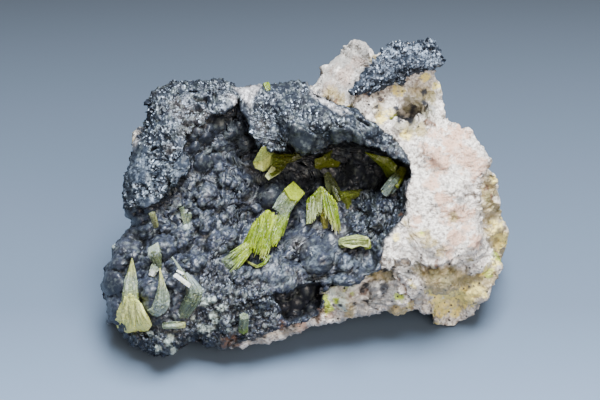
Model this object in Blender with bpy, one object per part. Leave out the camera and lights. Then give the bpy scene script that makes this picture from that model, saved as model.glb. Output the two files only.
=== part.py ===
"""A pyromorphite specimen: quartz matrix, botryoidal manganese-oxide crust and green crystals.

Metres, +Z up. The origin lies on the flat patch that the rock rests on. The display face leans
back and looks along -Y and up. Places on that face are given as a column and a row of the
reference photograph, and heights above the face as real lengths along the line of sight.
"""

import math

import bmesh
import bpy
import numpy as np

MM = 0.001

# Driving dimensions
SPECIMEN_WIDTH = 70 * MM
SIGHT_ELEVATION = math.radians(35)
SIGHT_DISTANCE = 260 * MM
SIGHT_POINT = np.array([-0.5, 1.5, 22.0]) * MM
PHOTO_CENTRE = (300, 200)
PHOTO_SPAN = 406
PIXEL = SPECIMEN_WIDTH / PHOTO_SPAN
JOINT_GAP = 0.3 * MM
FLOOR_MARGIN = 0.6 * MM

RIGHT = np.array([1.0, 0.0, 0.0])
UPWARDS = np.array([0.0, math.sin(SIGHT_ELEVATION), math.cos(SIGHT_ELEVATION)])
TOWARDS = np.array([0.0, -math.cos(SIGHT_ELEVATION), math.sin(SIGHT_ELEVATION)])

# Outlines, as (column, row), clockwise from the upper left
CRUST_CENTRE = (235, 215)
CRUST_OUTLINE = [
    (148, 111), (154, 93), (173, 83), (206, 80), (221, 79), (240, 87), (262, 84), (286, 83),
    (307, 82), (312, 92), (333, 104), (357, 108), (383, 130), (395, 141), (407, 157),
    (413, 173), (407, 188), (406, 212), (395, 230), (385, 242), (380, 266), (362, 282),
    (340, 286), (325, 300), (320, 314), (292, 323), (270, 332), (252, 340), (236, 341),
    (224, 350), (207, 347), (199, 340), (187, 343), (176, 352), (166, 357), (151, 357),
    (138, 348), (124, 336), (108, 321), (105, 298), (101, 284), (105, 270), (112, 248),
    (122, 235), (129, 226), (126, 214), (124, 192), (126, 174), (133, 151), (141, 130),
]
MATRIX_CENTRE = (400, 205)
MATRIX_OUTLINE = [
    (131, 133), (152, 115), (175, 95), (206, 90), (243, 90), (270, 92), (306, 90), (316, 82),
    (326, 68), (338, 53), (344, 42), (357, 39), (367, 45), (371, 55), (384, 54), (398, 47),
    (420, 47), (430, 50), (433, 68), (438, 93), (442, 116), (455, 124), (470, 131),
    (480, 147), (487, 160), (487, 169), (500, 184), (500, 214), (506, 229), (507, 247),
    (497, 270), (491, 293), (476, 314), (461, 322), (453, 325), (440, 325), (431, 316),
    (415, 310), (390, 311), (368, 314), (350, 319), (339, 323), (322, 324), (306, 326),
    (289, 335), (275, 341), (256, 343), (240, 348), (224, 344), (206, 338), (180, 330),
    (135, 320), (118, 300), (118, 265), (140, 232), (134, 205), (136, 160),
]
PLATE_CENTRE = (405, 66)
PLATE_OUTLINE = [
    (349, 93), (366, 72), (378, 58), (383, 50), (396, 43), (420, 43), (429, 39), (435, 44),
    (441, 54), (445, 64), (436, 69), (416, 74), (398, 76), (386, 82), (374, 92), (359, 101),
]

# The crust's upper shelf: the broken plateau and the ledge that roofs the pocket
SHELF_EDGE = [
    (110, 207), (140, 208), (156, 205), (168, 198), (176, 186), (186, 178), (191, 168),
    (189, 156), (186, 136), (196, 124), (219, 114), (232, 109), (238, 101), (244, 113),
    (250, 127), (255, 140), (263, 150), (272, 153), (286, 147), (300, 153), (318, 152),
    (332, 146), (345, 143), (372, 147), (386, 153), (399, 161), (425, 163), (425, 60),
    (110, 60),
]
# The hollow under the lower shelf, at the foot of the face
HOLLOW_EDGE = [
    (272, 293), (289, 290), (300, 285), (313, 283), (325, 285), (324, 300), (318, 314),
    (306, 321), (292, 324), (281, 318), (277, 305),
]

# Depths towards the eye, as (column, row, millimetres)
CRUST_FLOOR_DEPTHS = [
    (205, 140, 0.5), (228, 130, -1), (245, 150, -1.5), (218, 165, 1), (180, 210, 4),
    (225, 200, 2), (250, 215, 1.5), (150, 225, 4), (133, 235, 2), (200, 240, 5),
    (160, 250, 7), (122, 262, 5), (108, 290, 4), (125, 305, 7), (150, 300, 9), (180, 288, 9),
    (212, 268, 7), (240, 250, 4), (230, 300, 9), (262, 280, 7.5), (165, 335, 9),
    (130, 330, 6), (210, 335, 8), (250, 325, 7.5), (270, 200, 0.5), (290, 222, 0.5),
    (325, 228, 1), (300, 250, 4), (330, 268, 6), (362, 250, 5), (350, 278, 7.5),
    (290, 276, 8), (300, 168, -6), (335, 172, -9), (375, 178, -8), (318, 192, -4),
    (362, 192, -4.5), (345, 208, -1.5), (385, 215, 3), (395, 195, 2), (300, 310, 7),
]
CRUST_SHELF_DEPTHS = [
    (150, 150, 6), (140, 190, 6), (168, 112, 5.5), (200, 95, 4.5), (238, 92, 3.5),
    (180, 168, 7), (170, 140, 6.5), (260, 112, 5.5), (262, 140, 7.5), (300, 108, 6.5),
    (300, 138, 8.5), (340, 128, 8.5), (370, 140, 8), (390, 152, 7), (300, 88, 3),
    (340, 108, 5), (200, 112, 5.5),
]
HOLLOW_DEPTH = 6.5 * MM
CRUST_BACK_DEPTHS = [
    (128, 195, -5.5), (124, 232, -5.5), (150, 120, -5.5), (200, 90, -5), (290, 90, -6), (230, 200, -6),
    (110, 285, -4), (140, 290, -3), (150, 345, -1), (235, 335, -1.2), (300, 300, -3.5), (345, 175, -13),
    (300, 165, -11), (400, 200, -9), (380, 255, -4), (330, 300, -2), (270, 250, -5),
]
MATRIX_FRONT_DEPTHS = [
    (406, 200, 8), (410, 240, 8.5), (432, 150, 6.5), (450, 128, 3.5), (470, 158, 4.5),
    (478, 200, 4), (450, 200, 8), (440, 240, 9), (468, 240, 7), (492, 225, 1),
    (500, 250, -2), (402, 272, 9), (440, 276, 8), (480, 280, 2), (430, 300, 2.5),
    (452, 316, -3), (388, 290, 6), (350, 300, 6), (376, 305, 4), (340, 316, 4.5),
    (300, 327, 5), (250, 341, 5), (347, 55, -1.5), (392, 58, 3.5), (426, 56, 2.5), (335, 78, 0), (325, 90, 1.5), (400, 88, 3),
    (428, 88, 0.5), (412, 118, 0), (386, 108, 4), (398, 132, 5), (372, 112, 4.5),
    (135, 138, -2), (248, 92, 1.5), (120, 280, -3), (200, 200, -2),
]
PLATE_FRONT_DEPTHS = [
    (355, 92, 6.5), (378, 78, 6), (398, 56, 4.5), (425, 50, 3.5), (438, 62, 4), (410, 66, 6),
]
PLATE_THICKNESS = 3.2 * MM

# Rounded lumps that stand out of the crust, as (column, row, radius in pixels)
LUMPS = [
    (304, 138, 16), (341, 134, 13), (366, 140, 11), (293, 123, 8), (231, 133, 9),
    (247, 145, 9), (221, 123, 8), (207, 137, 7), (234, 158, 7), (203, 163, 11), (217, 163, 9),
    (248, 180, 8), (271, 196, 14), (243, 192, 9), (208, 197, 13), (181, 184, 7),
    (131, 212, 8), (150, 210, 8), (301, 211, 10), (301, 226, 10), (317, 254, 17),
    (330, 238, 9), (163, 247, 13), (112, 283, 14), (150, 291, 13), (157, 306, 12),
    (130, 250, 12), (182, 240, 13), (205, 222, 12), (230, 215, 10), (195, 262, 12),
    (296, 304, 10), (295, 317, 9), (307, 290, 11), (369, 201, 14), (356, 222, 11),
    (376, 228, 11), (318, 188, 10), (341, 182, 12), (360, 262, 10), (345, 262, 9),
    (240, 275, 11), (262, 300, 11), (225, 325, 10), (160, 342, 12), (136, 337, 10),
    (112, 309, 10), (230, 238, 11), (255, 165, 8), (355, 170, 11), (328, 170, 10),
]
LUMP_RISE = 0.9


def outer(lengths, direction):
    return np.asarray(lengths)[..., None] * direction


def place(column, row, depth):
    """The point seen at a column and row, at a depth towards the eye: lines of sight spread
    from the eye, so a nearer point lies closer to the middle line."""
    spread = PIXEL * (SIGHT_DISTANCE - depth) / SIGHT_DISTANCE
    return (
        SIGHT_POINT
        + outer((column - PHOTO_CENTRE[0]) * spread, RIGHT)
        + outer((PHOTO_CENTRE[1] - row) * spread, UPWARDS)
        + outer(depth, TOWARDS)
    )


def floor_depth(row, height=0.0):
    """The depth at which the line of sight of a row is at a height above the floor."""
    up = (PHOTO_CENTRE[1] - row) * PIXEL
    rise = up * UPWARDS[2]
    return (height - SIGHT_POINT[2] - rise) / (TOWARDS[2] - rise / SIGHT_DISTANCE)


def blended(column, row, marks):
    """The mean of the marked depths, each weighted by one over its distance to the fourth."""
    total = np.zeros(np.shape(column))
    weights = np.zeros(np.shape(column))
    for mark_column, mark_row, depth in marks:
        weight = 1 / ((column - mark_column) ** 2 + (row - mark_row) ** 2 + 40.0) ** 2
        total += weight * depth * MM
        weights += weight
    return total / weights


def inside_by(column, row, polygon):
    """Distance in pixels to a polygon's nearest edge, positive inside: crossings of a level
    line are counted for the sign."""
    nearest = np.full(np.shape(column), np.inf)
    inside = np.zeros(np.shape(column), bool)
    for (x0, y0), (x1, y1) in zip(polygon, polygon[1:] + polygon[:1]):
        along = ((column - x0) * (x1 - x0) + (row - y0) * (y1 - y0)) / (
            (x1 - x0) ** 2 + (y1 - y0) ** 2
        )
        along = np.clip(along, 0, 1)
        gap = np.hypot(column - x0 - along * (x1 - x0), row - y0 - along * (y1 - y0))
        nearest = np.minimum(nearest, gap)
        if y0 != y1:
            crossing = x0 + (row - y0) * (x1 - x0) / (y1 - y0)
            inside ^= ((row > min(y0, y1)) & (row <= max(y0, y1))) & (column < crossing)
    return np.where(inside, nearest, -nearest)


def smooth_step(value, low, high):
    t = np.clip((value - low) / (high - low), 0, 1)
    return t * t * (3 - 2 * t)


def reach(centre, outline, angle):
    """Distance in pixels from the centre to the outline, at an angle counted anticlockwise."""
    spokes = np.array(outline, float) - centre
    angles = np.arctan2(-spokes[:, 1], spokes[:, 0])
    order = np.argsort(angles)
    lengths = np.hypot(spokes[:, 0], spokes[:, 1])[order]
    return np.interp(angle, angles[order], lengths, period=2 * math.pi)


def edge_share(column, row, centre, outline):
    """How far a place is from the centre to the outline, from 0 to 1, and its angle."""
    across, up = column - centre[0], centre[1] - row
    angle = np.arctan2(up, across)
    return np.clip(np.hypot(across, up) / reach(centre, outline, angle), 0, 1), angle


def rounding(share, power=8):
    """From 0 in the middle to 1 at the edge, like the fall of a superellipse."""
    return 1 - (1 - share**power) ** 0.4


def crust_front(column, row):
    """The crust's face: the floor of the bowl and pocket, or the shelf inside its edge, less
    the hollow at the foot, and rounded down at the free edges."""
    floor = blended(column, row, CRUST_FLOOR_DEPTHS)
    hollow = smooth_step(inside_by(column, row, HOLLOW_EDGE), 0, 5)
    floor = floor - HOLLOW_DEPTH * hollow
    shelf = blended(column, row, CRUST_SHELF_DEPTHS)
    on_shelf = smooth_step(inside_by(column, row, SHELF_EDGE), -1, 4)
    depth = floor + (shelf - floor) * on_shelf
    share, angle = edge_share(column, row, CRUST_CENTRE, CRUST_OUTLINE)
    free = 1 - smooth_step(np.cos(angle + math.radians(18)), 0.1, 0.45)
    depth = depth - rounding(share) * (1.0 + 4.5 * free) * MM
    return np.maximum(depth, floor_depth(row, 2 * FLOOR_MARGIN))


def lump_rise(column, row):
    """Height of the lumps: each is a ball whose centre lies on the face."""
    rise = np.zeros(np.shape(column))
    for lump_column, lump_row, radius in LUMPS:
        gap = np.hypot(column - lump_column, row - lump_row) / radius
        ball = radius * PIXEL * LUMP_RISE * np.sqrt(np.clip(1 - gap**2, 0, 1))
        rise = np.maximum(rise, ball)
    return rise


def lumpy_crust_front(column, row):
    return crust_front(column, row) + lump_rise(column, row)


def crust_back(column, row):
    back = blended(column, row, CRUST_BACK_DEPTHS)
    return np.maximum(back, floor_depth(row, FLOOR_MARGIN))


def socket_back(column, row):
    back = blended(column, row, CRUST_BACK_DEPTHS) - JOINT_GAP
    return np.maximum(back, floor_depth(row, FLOOR_MARGIN - JOINT_GAP))


def matrix_front(column, row):
    """The quartz's face: as marked beside the crust, and sunk behind the crust's back."""
    depth = blended(column, row, MATRIX_FRONT_DEPTHS)
    covered = smooth_step(inside_by(column, row, CRUST_OUTLINE), 10, 18)
    sunk = crust_back(column, row) - 1.5 * MM
    depth = depth + (sunk - depth) * covered
    share, _ = edge_share(column, row, MATRIX_CENTRE, MATRIX_OUTLINE)
    depth = depth - rounding(share, 14) * 2.0 * MM
    return np.maximum(depth, floor_depth(row, FLOOR_MARGIN))


def matrix_back(column, row):
    """The broken back: a steep face behind, and the floor patch where that lies higher."""
    up = (PHOTO_CENTRE[1] - row) * PIXEL
    upright = (up * math.sin(SIGHT_ELEVATION) - 20.0 * MM) / math.cos(SIGHT_ELEVATION)
    side = np.abs(column - 310) / 200
    upright = upright + 6.0 * MM * side**2.5
    return np.maximum(upright, floor_depth(row))


def plate_front(column, row):
    depth = blended(column, row, PLATE_FRONT_DEPTHS)
    share, _ = edge_share(column, row, PLATE_CENTRE, PLATE_OUTLINE)
    return depth - rounding(share, 5) * 0.8 * MM


def plate_back(column, row):
    return blended(column, row, PLATE_FRONT_DEPTHS) - PLATE_THICKNESS


def socket_plate_back(column, row):
    return plate_back(column, row) - JOINT_GAP


def disk_grid(cells):
    """A square grid bent into a unit disk, so that squares become rings about the middle."""
    line = np.linspace(-1, 1, cells + 1)
    u, v = np.meshgrid(line, line, indexing="ij")
    wide = np.abs(u) >= np.abs(v)
    radius = np.where(wide, u, v)
    safe = np.where(radius == 0, 1, radius)
    angle = np.where(wide, math.pi / 4 * v / safe, math.pi / 2 - math.pi / 4 * u / safe)
    return radius * np.cos(angle), radius * np.sin(angle)


def rim_loop(cells):
    """Numbers of the grid's outer points, in order round the disk."""
    number = np.arange((cells + 1) ** 2).reshape(cells + 1, cells + 1)
    return np.concatenate(
        [number[:-1, 0], number[-1, :-1], number[:0:-1, -1], number[0, :0:-1]]
    )


def grid_quads(number):
    quads = [number[:-1, :-1], number[1:, :-1], number[1:, 1:], number[:-1, 1:]]
    return np.stack(quads, -1).reshape(-1, 4)


def shell(centre, outline, front, back, cells, rings, grow=0.0, bow=None, fan=True):
    """A closed form: a disk grid for the face, then rings (share of reach, share of the way
    to the back) from its rim down the side, and behind them a fan or a second grid."""
    across, up = disk_grid(cells)
    angle = np.arctan2(up, across)
    share = np.hypot(across, up)
    distance = share * (reach(centre, outline, angle) + grow)
    column = (centre[0] + distance * np.cos(angle)).ravel()
    row = (centre[1] - distance * np.sin(angle)).ravel()
    face_depth = front(column, row)
    points = [place(column, row, face_depth)]
    loop = rim_loop(cells)
    rim_column, rim_row, rim_depth = column[loop], row[loop], face_depth[loop]
    number = np.arange((cells + 1) ** 2).reshape(cells + 1, cells + 1)
    faces = [grid_quads(number)]
    previous, next_number = loop, number.size
    for reach_share, back_share in rings:
        ring_column = centre[0] + (rim_column - centre[0]) * reach_share
        ring_row = centre[1] + (rim_row - centre[1]) * reach_share
        ring_depth = rim_depth + (back(ring_column, ring_row) - rim_depth) * back_share
        ring_depth = np.maximum(ring_depth, floor_depth(ring_row))
        points.append(place(ring_column, ring_row, ring_depth))
        ring = np.arange(next_number, next_number + len(loop))
        next_number += len(loop)
        pairs = [previous, ring, np.roll(ring, -1), np.roll(previous, -1)]
        faces.append(np.stack(pairs, -1))
        previous = ring
    if fan:
        behind = [np.array([value], float) for value in centre]
        middle = np.full(len(loop), next_number)
        faces.append(np.stack([previous, middle, np.roll(previous, -1)], -1))
    else:
        inner = np.setdiff1d(number, loop)
        behind = [
            centre[0] + (column[inner] - centre[0]) * reach_share,
            centre[1] + (row[inner] - centre[1]) * reach_share,
        ]
        back_number = np.empty(number.size, int)
        back_number[inner] = next_number + np.arange(len(inner))
        back_number[loop] = previous
        faces.append(grid_quads(back_number.reshape(number.shape))[:, ::-1])
    points.append(place(*behind, np.maximum(back(*behind), floor_depth(behind[1]))))
    points = np.concatenate(points)
    if bow is not None:
        points = bow(points)
    return points, [face.tolist() for part in faces for face in part]


def rough_sides(points):
    """Waves of a few wavelengths, pushed outwards on the side and back, none on the floor."""
    away = points - points.mean(axis=0)
    facing = away @ TOWARDS / np.linalg.norm(away, axis=1)
    x, y, z = (points / MM).T
    wave = (
        np.sin(0.31 * x + 0.23 * z + 1.0) * np.cos(0.29 * z - 0.17 * x)
        + 0.8 * np.sin(0.55 * y - 0.47 * x + 0.4 * z)
        + 0.6 * np.sin(0.9 * z + 0.6 * x + 2.0)
    )
    amount = 0.8 * MM * wave * smooth_step(-facing, 0.1, 0.5) * smooth_step(z, 1.0, 5.0)
    return points + outer(amount, np.ones(3)) * away / np.linalg.norm(away, axis=1)[:, None]


def flat_on_floor(points):
    """Points within a whisker of the floor are put on it."""
    points[:, 2] = np.where(points[:, 2] < 0.02 * MM, 0.0, points[:, 2])
    return points


def material(name, colour, roughness, metallic=0.0):
    made = bpy.data.materials.new(name)
    made.use_nodes = True
    shader = made.node_tree.nodes["Principled BSDF"]
    shader.inputs["Base Color"].default_value = (*colour, 1.0)
    shader.inputs["Roughness"].default_value = roughness
    shader.inputs["Metallic"].default_value = metallic
    return made


def add_object(name, points, faces, finish=None):
    mesh = bpy.data.meshes.new(name)
    mesh.from_pydata([tuple(p) for p in points], [], faces)
    bm = bmesh.new()
    bm.from_mesh(mesh)
    bmesh.ops.triangulate(bm, faces=bm.faces)
    bmesh.ops.recalc_face_normals(bm, faces=bm.faces)
    bm.to_mesh(mesh)
    bm.free()
    obj = bpy.data.objects.new(name, mesh)
    bpy.context.scene.collection.objects.link(obj)
    if finish is not None:
        mesh.materials.append(finish)
    return obj


def hide_as_cutter(obj):
    obj.hide_render = True
    obj.display_type = "WIRE"


def cut(obj, cutter):
    modifier = obj.modifiers.new("cut_" + cutter.name, "BOOLEAN")
    modifier.operation = "DIFFERENCE"
    modifier.object = cutter


# Pyromorphite stems: a list of stations (column, row, rise above the face in mm, radius in mm)
SPIRE = [(134, 330, 0.3, 3.0), (133, 318, 1.4, 2.7), (129, 303, 1.8, 1.45),
         (131, 280, 2.4, 0.9), (132, 259, 3.0, 0.12)]
HOOK = [(158, 316, 0.4, 1.0), (159, 306, 2.6, 1.6), (161, 294, 3.0, 1.3),
        (161, 283, 3.4, 0.55), (160, 269, 3.6, 0.12)]
CRYSTALS = {
    "left_spire_crystal": [SPIRE],
    "hooked_crystal": [HOOK],
    "waisted_crystal": [
        [(158, 267, 0.0, 0.9), (152, 246, 2.6, 1.15)],
        [(152, 275, 1.2, 0.5), (159, 259, 0.6, 0.9)],
    ],
    "curved_sheaf_crystal": [
        [(183, 316, -0.6, 1.1), (189, 301, 1.6, 1.35), (193, 288, 2.4, 1.2),
         (186, 276, 2.8, 0.8), (173, 260, 3.2, 0.15)],
        [(191, 288, 3.2, 0.35), (174, 274, 4.2, 0.35)],
    ],
    "pale_bar_crystal": [[(164, 326, 0.6, 0.65), (184, 325, 0.9, 0.75)]],
    "pale_upper_crystal": [
        [(188, 227, -0.4, 0.5), (182, 207, 1.2, 0.45)],
        [(186, 226, -0.3, 0.45), (190, 213, 1.4, 0.35)],
    ],
    "olive_stub_crystal": [[(156, 227, 2.0, 0.55), (152, 213, 3.2, 0.7)]],
    "centre_sheaf_crystal": [
        [(297, 192, 6.2, 1.55), (283, 212, 5.4, 1.5), (277, 226, 4.4, 1.25),
         (269, 243, 2.6, 0.8)],
        [(284, 212, 5.0, 0.9), (287, 209, 4.6, 0.8), (274, 244, 2.2, 0.45)],
        [(269, 209, 5.2, 0.35), (264, 220, 4.8, 1.3), (262, 236, 3.6, 1.4),
         (258, 250, 1.2, 0.5)],
        [(256, 221, 4.4, 0.3), (255, 232, 3.6, 0.9), (247, 244, 1.8, 0.7),
         (236, 257, -0.4, 0.75)],
        [(278, 222, 4.4, 0.7), (270, 236, 3.4, 1.1), (264, 250, 1.6, 0.45)],
        [(240, 253, 0.4, 0.8), (225, 265, 0.2, 1.3)],
        [(262, 250, 1.5, 0.4), (266, 262, 0.1, 0.7)],
    ],
    "right_sheaf_crystal": [
        [(320, 188, 5.4, 0.9), (319, 198, 5.4, 1.75), (314, 208, 4.2, 1.2),
         (308, 223, 1.6, 0.25)],
        [(322, 192, 5.2, 1.0), (329, 205, 4.4, 1.1), (333, 218, 2.8, 0.75),
         (337, 233, 0.4, 0.2)],
        [(323, 199, 4.0, 0.8), (325, 227, -0.4, 0.85)],
    ],
    "crossed_prism_crystal": [
        [(342, 201, -0.4, 1.0), (333, 191, 2.0, 1.0), (326, 174, 4.2, 0.7)],
        [(362, 193, 0.2, 0.8), (341, 196, 1.2, 0.95)],
        [(347, 208, -0.4, 0.8), (347, 197, 1.2, 0.8)],
    ],
    "pocket_block_crystal": [
        [(279, 161, 1.6, 1.5), (256, 160, 4.6, 1.9)],
        [(277, 162, 1.8, 1.1), (267, 177, 4.6, 1.1)],
        [(276, 160, 2.4, 1.0), (292, 158, 2.6, 0.75), (306, 154, 3.2, 0.25)],
    ],
    "pocket_olive_crystal": [
        [(318, 167, -0.5, 1.1), (323, 160, 3.0, 1.2), (332, 151, 5.0, 0.25)],
        [(316, 164, 1.5, 0.9), (338, 165, 1.5, 0.7)],
    ],
    "pocket_blade_crystal": [
        [(394, 178, -1.0, 1.5), (391, 168, 3.4, 1.5), (366, 153, 6.6, 0.2)],
        [(408, 164, 1.2, 0.9), (396, 180, 3.4, 1.15), (384, 194, 1.4, 1.15)],
        [(392, 176, 2.2, 1.3), (400, 186, 2.0, 0.9)],
    ],
    "pale_lower_crystal": [
        [(340, 243, 1.4, 0.95), (356, 241, 1.8, 1.1), (369, 240, 1.4, 0.8)],
        [(366, 241, 1.0, 0.85), (368, 250, 1.0, 0.7)],
    ],
    "foot_stub_crystal": [[(243, 331, 0.2, 0.9), (244, 315, 2.0, 1.15)]],
    "crest_crystal": [[(268, 92, -0.5, 0.7), (266, 83, 3.0, 0.8)]],
}
CRYSTAL_TINTS = {
    "left_spire_crystal": (0.45, 0.50, 0.14), "centre_sheaf_crystal": (0.52, 0.60, 0.06),
    "right_sheaf_crystal": (0.45, 0.52, 0.10), "pocket_block_crystal": (0.42, 0.45, 0.10),
}
PALE_TINT = (0.36, 0.42, 0.28)
FACETS = 6


def hexagon(centre, along, radius, turn):
    """Six corners round a centre, square to a direction."""
    side = np.cross(along, [0.31, 0.17, 0.93])
    side /= np.linalg.norm(side)
    other = np.cross(along, side)
    angles = turn + np.arange(FACETS) * 2 * math.pi / FACETS
    return centre + radius * (outer(np.cos(angles), side) + outer(np.sin(angles), other))


def stem(stations, swell=0.0):
    """A six-sided prism through its stations, closed at both ends; swell makes it larger."""
    middles, radii = [], []
    for column, row, rise, radius in stations:
        face = crust_front(np.array(float(column)), np.array(float(row)))
        middles.append(place(column, row, float(face) + rise * MM))
        radii.append(radius * MM + swell)
    middles = np.array(middles)
    start = middles[0] - middles[1]
    end = middles[-1] - middles[-2]
    middles[0] += swell * start / np.linalg.norm(start)
    middles[-1] += swell * end / np.linalg.norm(end)
    count = len(middles)
    points = []
    for k, (middle, radius) in enumerate(zip(middles, radii)):
        along = middles[min(k + 1, count - 1)] - middles[max(k - 1, 0)]
        points.append(hexagon(middle, along / np.linalg.norm(along), radius, 0.3))
    corner = np.arange(FACETS)
    following = (corner + 1) % FACETS
    faces = [corner[::-1].tolist(), (corner + FACETS * (count - 1)).tolist()]
    for k in range(count - 1):
        base = k * FACETS
        sides = [corner, following, following + FACETS, corner + FACETS]
        faces += (np.stack(sides, -1) + base).tolist()
    return np.concatenate(points), faces


def crystal(name, stems, finish, swell=0.0):
    """One cluster: its first stem with the others joined to it by a Boolean union."""
    whole = add_object(name, *stem(stems[0], swell), finish)
    for number, stations in enumerate(stems[1:]):
        part = add_object(f"{name}_stem{number + 1}", *stem(stations, swell))
        hide_as_cutter(part)
        join = whole.modifiers.new(f"join{number + 1}", "BOOLEAN")
        join.operation = "UNION"
        join.object = part
    return whole


CRUST_RINGS = [(1.0, 0.5), (0.98, 1.0), (0.6, 1.0)]
SOCKET_RINGS = [(1.0, 1.0), (0.98, 1.0), (0.6, 1.0)]
MATRIX_RINGS = [(1.0, 0.15), (0.97, 0.45), (0.91, 0.78), (0.8, 1.0)]
CRUST_CELLS = 30
MATRIX_CELLS = 22
PLATE_CELLS = 7
SOCKET_REACH = 22 * MM


def far_front(column, row):
    return np.full(np.shape(column), SOCKET_REACH)


def build():
    for obj in list(bpy.data.objects):
        bpy.data.objects.remove(obj, do_unlink=True)
    quartz = material("quartz", (0.72, 0.66, 0.60), 0.75)
    oxide = material("manganese_oxide", (0.035, 0.038, 0.048), 0.45, 0.2)
    steel_oxide = material("cleaved_oxide", (0.10, 0.13, 0.17), 0.35, 0.4)

    crust = add_object(
        "botryoidal_crust",
        *shell(CRUST_CENTRE, CRUST_OUTLINE, lumpy_crust_front, crust_back, CRUST_CELLS,
               CRUST_RINGS),
        oxide,
    )
    plate = add_object(
        "oxide_plate",
        *shell(PLATE_CENTRE, PLATE_OUTLINE, plate_front, plate_back, PLATE_CELLS,
               CRUST_RINGS),
        steel_oxide,
    )
    matrix_points, matrix_faces = shell(
        MATRIX_CENTRE, MATRIX_OUTLINE, matrix_front, matrix_back, MATRIX_CELLS, MATRIX_RINGS,
        bow=rough_sides, fan=False,
    )
    matrix = add_object("quartz_matrix", flat_on_floor(matrix_points), matrix_faces, quartz)

    gap = JOINT_GAP / PIXEL
    crust_socket = add_object(
        "crust_socket",
        *shell(CRUST_CENTRE, CRUST_OUTLINE, far_front, socket_back, CRUST_CELLS,
               SOCKET_RINGS, grow=gap),
    )
    plate_socket = add_object(
        "plate_socket",
        *shell(PLATE_CENTRE, PLATE_OUTLINE, far_front, socket_plate_back, PLATE_CELLS,
               SOCKET_RINGS, grow=gap),
    )
    for socket in (crust_socket, plate_socket):
        hide_as_cutter(socket)
        cut(matrix, socket)
    cut(crust, plate_socket)

    for name, stems in CRYSTALS.items():
        tint = CRYSTAL_TINTS.get(name, PALE_TINT)
        crystal(name, stems, material(name, tint, 0.35))
        root_socket = crystal(name + "_root", stems, None, JOINT_GAP)
        hide_as_cutter(root_socket)
        for rock in (crust, matrix):
            cut(rock, root_socket)


build()
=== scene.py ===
"""The looks of a pyromorphite specimen: granular quartz, a dark bubbly crust, green prisms.

Places on the display face are given as a column and a row of the picture and a depth towards the
eye, so each surface is a function of two parameters. Finer relief is then pushed out along the
surface's own normal from noise in real space.
"""

import math

import bpy
import numpy as np
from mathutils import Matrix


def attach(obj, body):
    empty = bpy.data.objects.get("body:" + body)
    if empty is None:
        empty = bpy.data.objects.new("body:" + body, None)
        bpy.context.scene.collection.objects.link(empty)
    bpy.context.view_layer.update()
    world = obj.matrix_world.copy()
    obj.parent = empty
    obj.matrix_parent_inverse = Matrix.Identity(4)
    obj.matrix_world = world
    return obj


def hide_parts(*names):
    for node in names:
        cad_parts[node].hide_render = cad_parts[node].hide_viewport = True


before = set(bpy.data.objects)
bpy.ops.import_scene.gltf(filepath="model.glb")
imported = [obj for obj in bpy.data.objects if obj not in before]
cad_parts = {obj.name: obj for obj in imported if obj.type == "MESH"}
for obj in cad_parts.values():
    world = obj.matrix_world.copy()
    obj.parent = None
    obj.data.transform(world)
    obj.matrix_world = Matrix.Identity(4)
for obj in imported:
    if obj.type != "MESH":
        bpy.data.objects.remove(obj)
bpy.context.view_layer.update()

bl_info = {
    "name": "Pyromorphite specimen",
    "version": (1, 0, 0),
    "blender": (4, 5, 0),
    "location": "View3D > Sidebar > Specimen",
    "description": "Builds a mineral specimen with its crust, quartz rock and green crystals",
    "category": "Add Mesh",
}

MM = 0.001
SPECIMEN_WIDTH = 70 * MM
SIGHT_ELEVATION = math.radians(35)
SIGHT_DISTANCE = 260 * MM
SIGHT_POINT = np.array([-0.5, 1.5, 22.0]) * MM
PHOTO_CENTRE = (300, 200)
PHOTO_SPAN = 406
PIXEL = SPECIMEN_WIDTH / PHOTO_SPAN
FLOOR_MARGIN = 0.6 * MM
CRUST_CLEARANCE = 0.2 * MM
MARK_SOFTNESS = 40.0

RIGHT = np.array([1.0, 0.0, 0.0])
UPWARDS = np.array([0.0, math.sin(SIGHT_ELEVATION), math.cos(SIGHT_ELEVATION)])
TOWARDS = np.array([0.0, -math.cos(SIGHT_ELEVATION), math.sin(SIGHT_ELEVATION)])

# Outlines, as (column, row), clockwise from the upper left
CRUST_CENTRE = (235, 215)
CRUST_OUTLINE = [
    (148, 111), (147, 102), (154, 93), (163, 90), (173, 83), (206, 80), (221, 79), (232, 81),
    (239, 88), (256, 84), (272, 85), (286, 83), (296, 81), (307, 82), (312, 92), (322, 97),
    (333, 104), (357, 108), (366, 119), (383, 130), (395, 141), (407, 157), (413, 173),
    (407, 188), (406, 212), (395, 230), (385, 242), (381, 256), (380, 268), (364, 276),
    (357, 284), (336, 284), (323, 292), (322, 311), (311, 319), (292, 323), (270, 332),
    (252, 340), (236, 341), (224, 350), (214, 345), (206, 347), (199, 339), (187, 343),
    (178, 351), (169, 356), (160, 358), (151, 356), (141, 349), (130, 344), (124, 336),
    (115, 325), (108, 321), (106, 310), (105, 298), (101, 283), (105, 270), (111, 256),
    (112, 248), (122, 235), (131, 227), (128, 220), (123, 210), (124, 192), (125, 176),
    (129, 161), (134, 151), (133, 142), (141, 130), (146, 120),
]
MATRIX_CENTRE = (400, 205)
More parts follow.
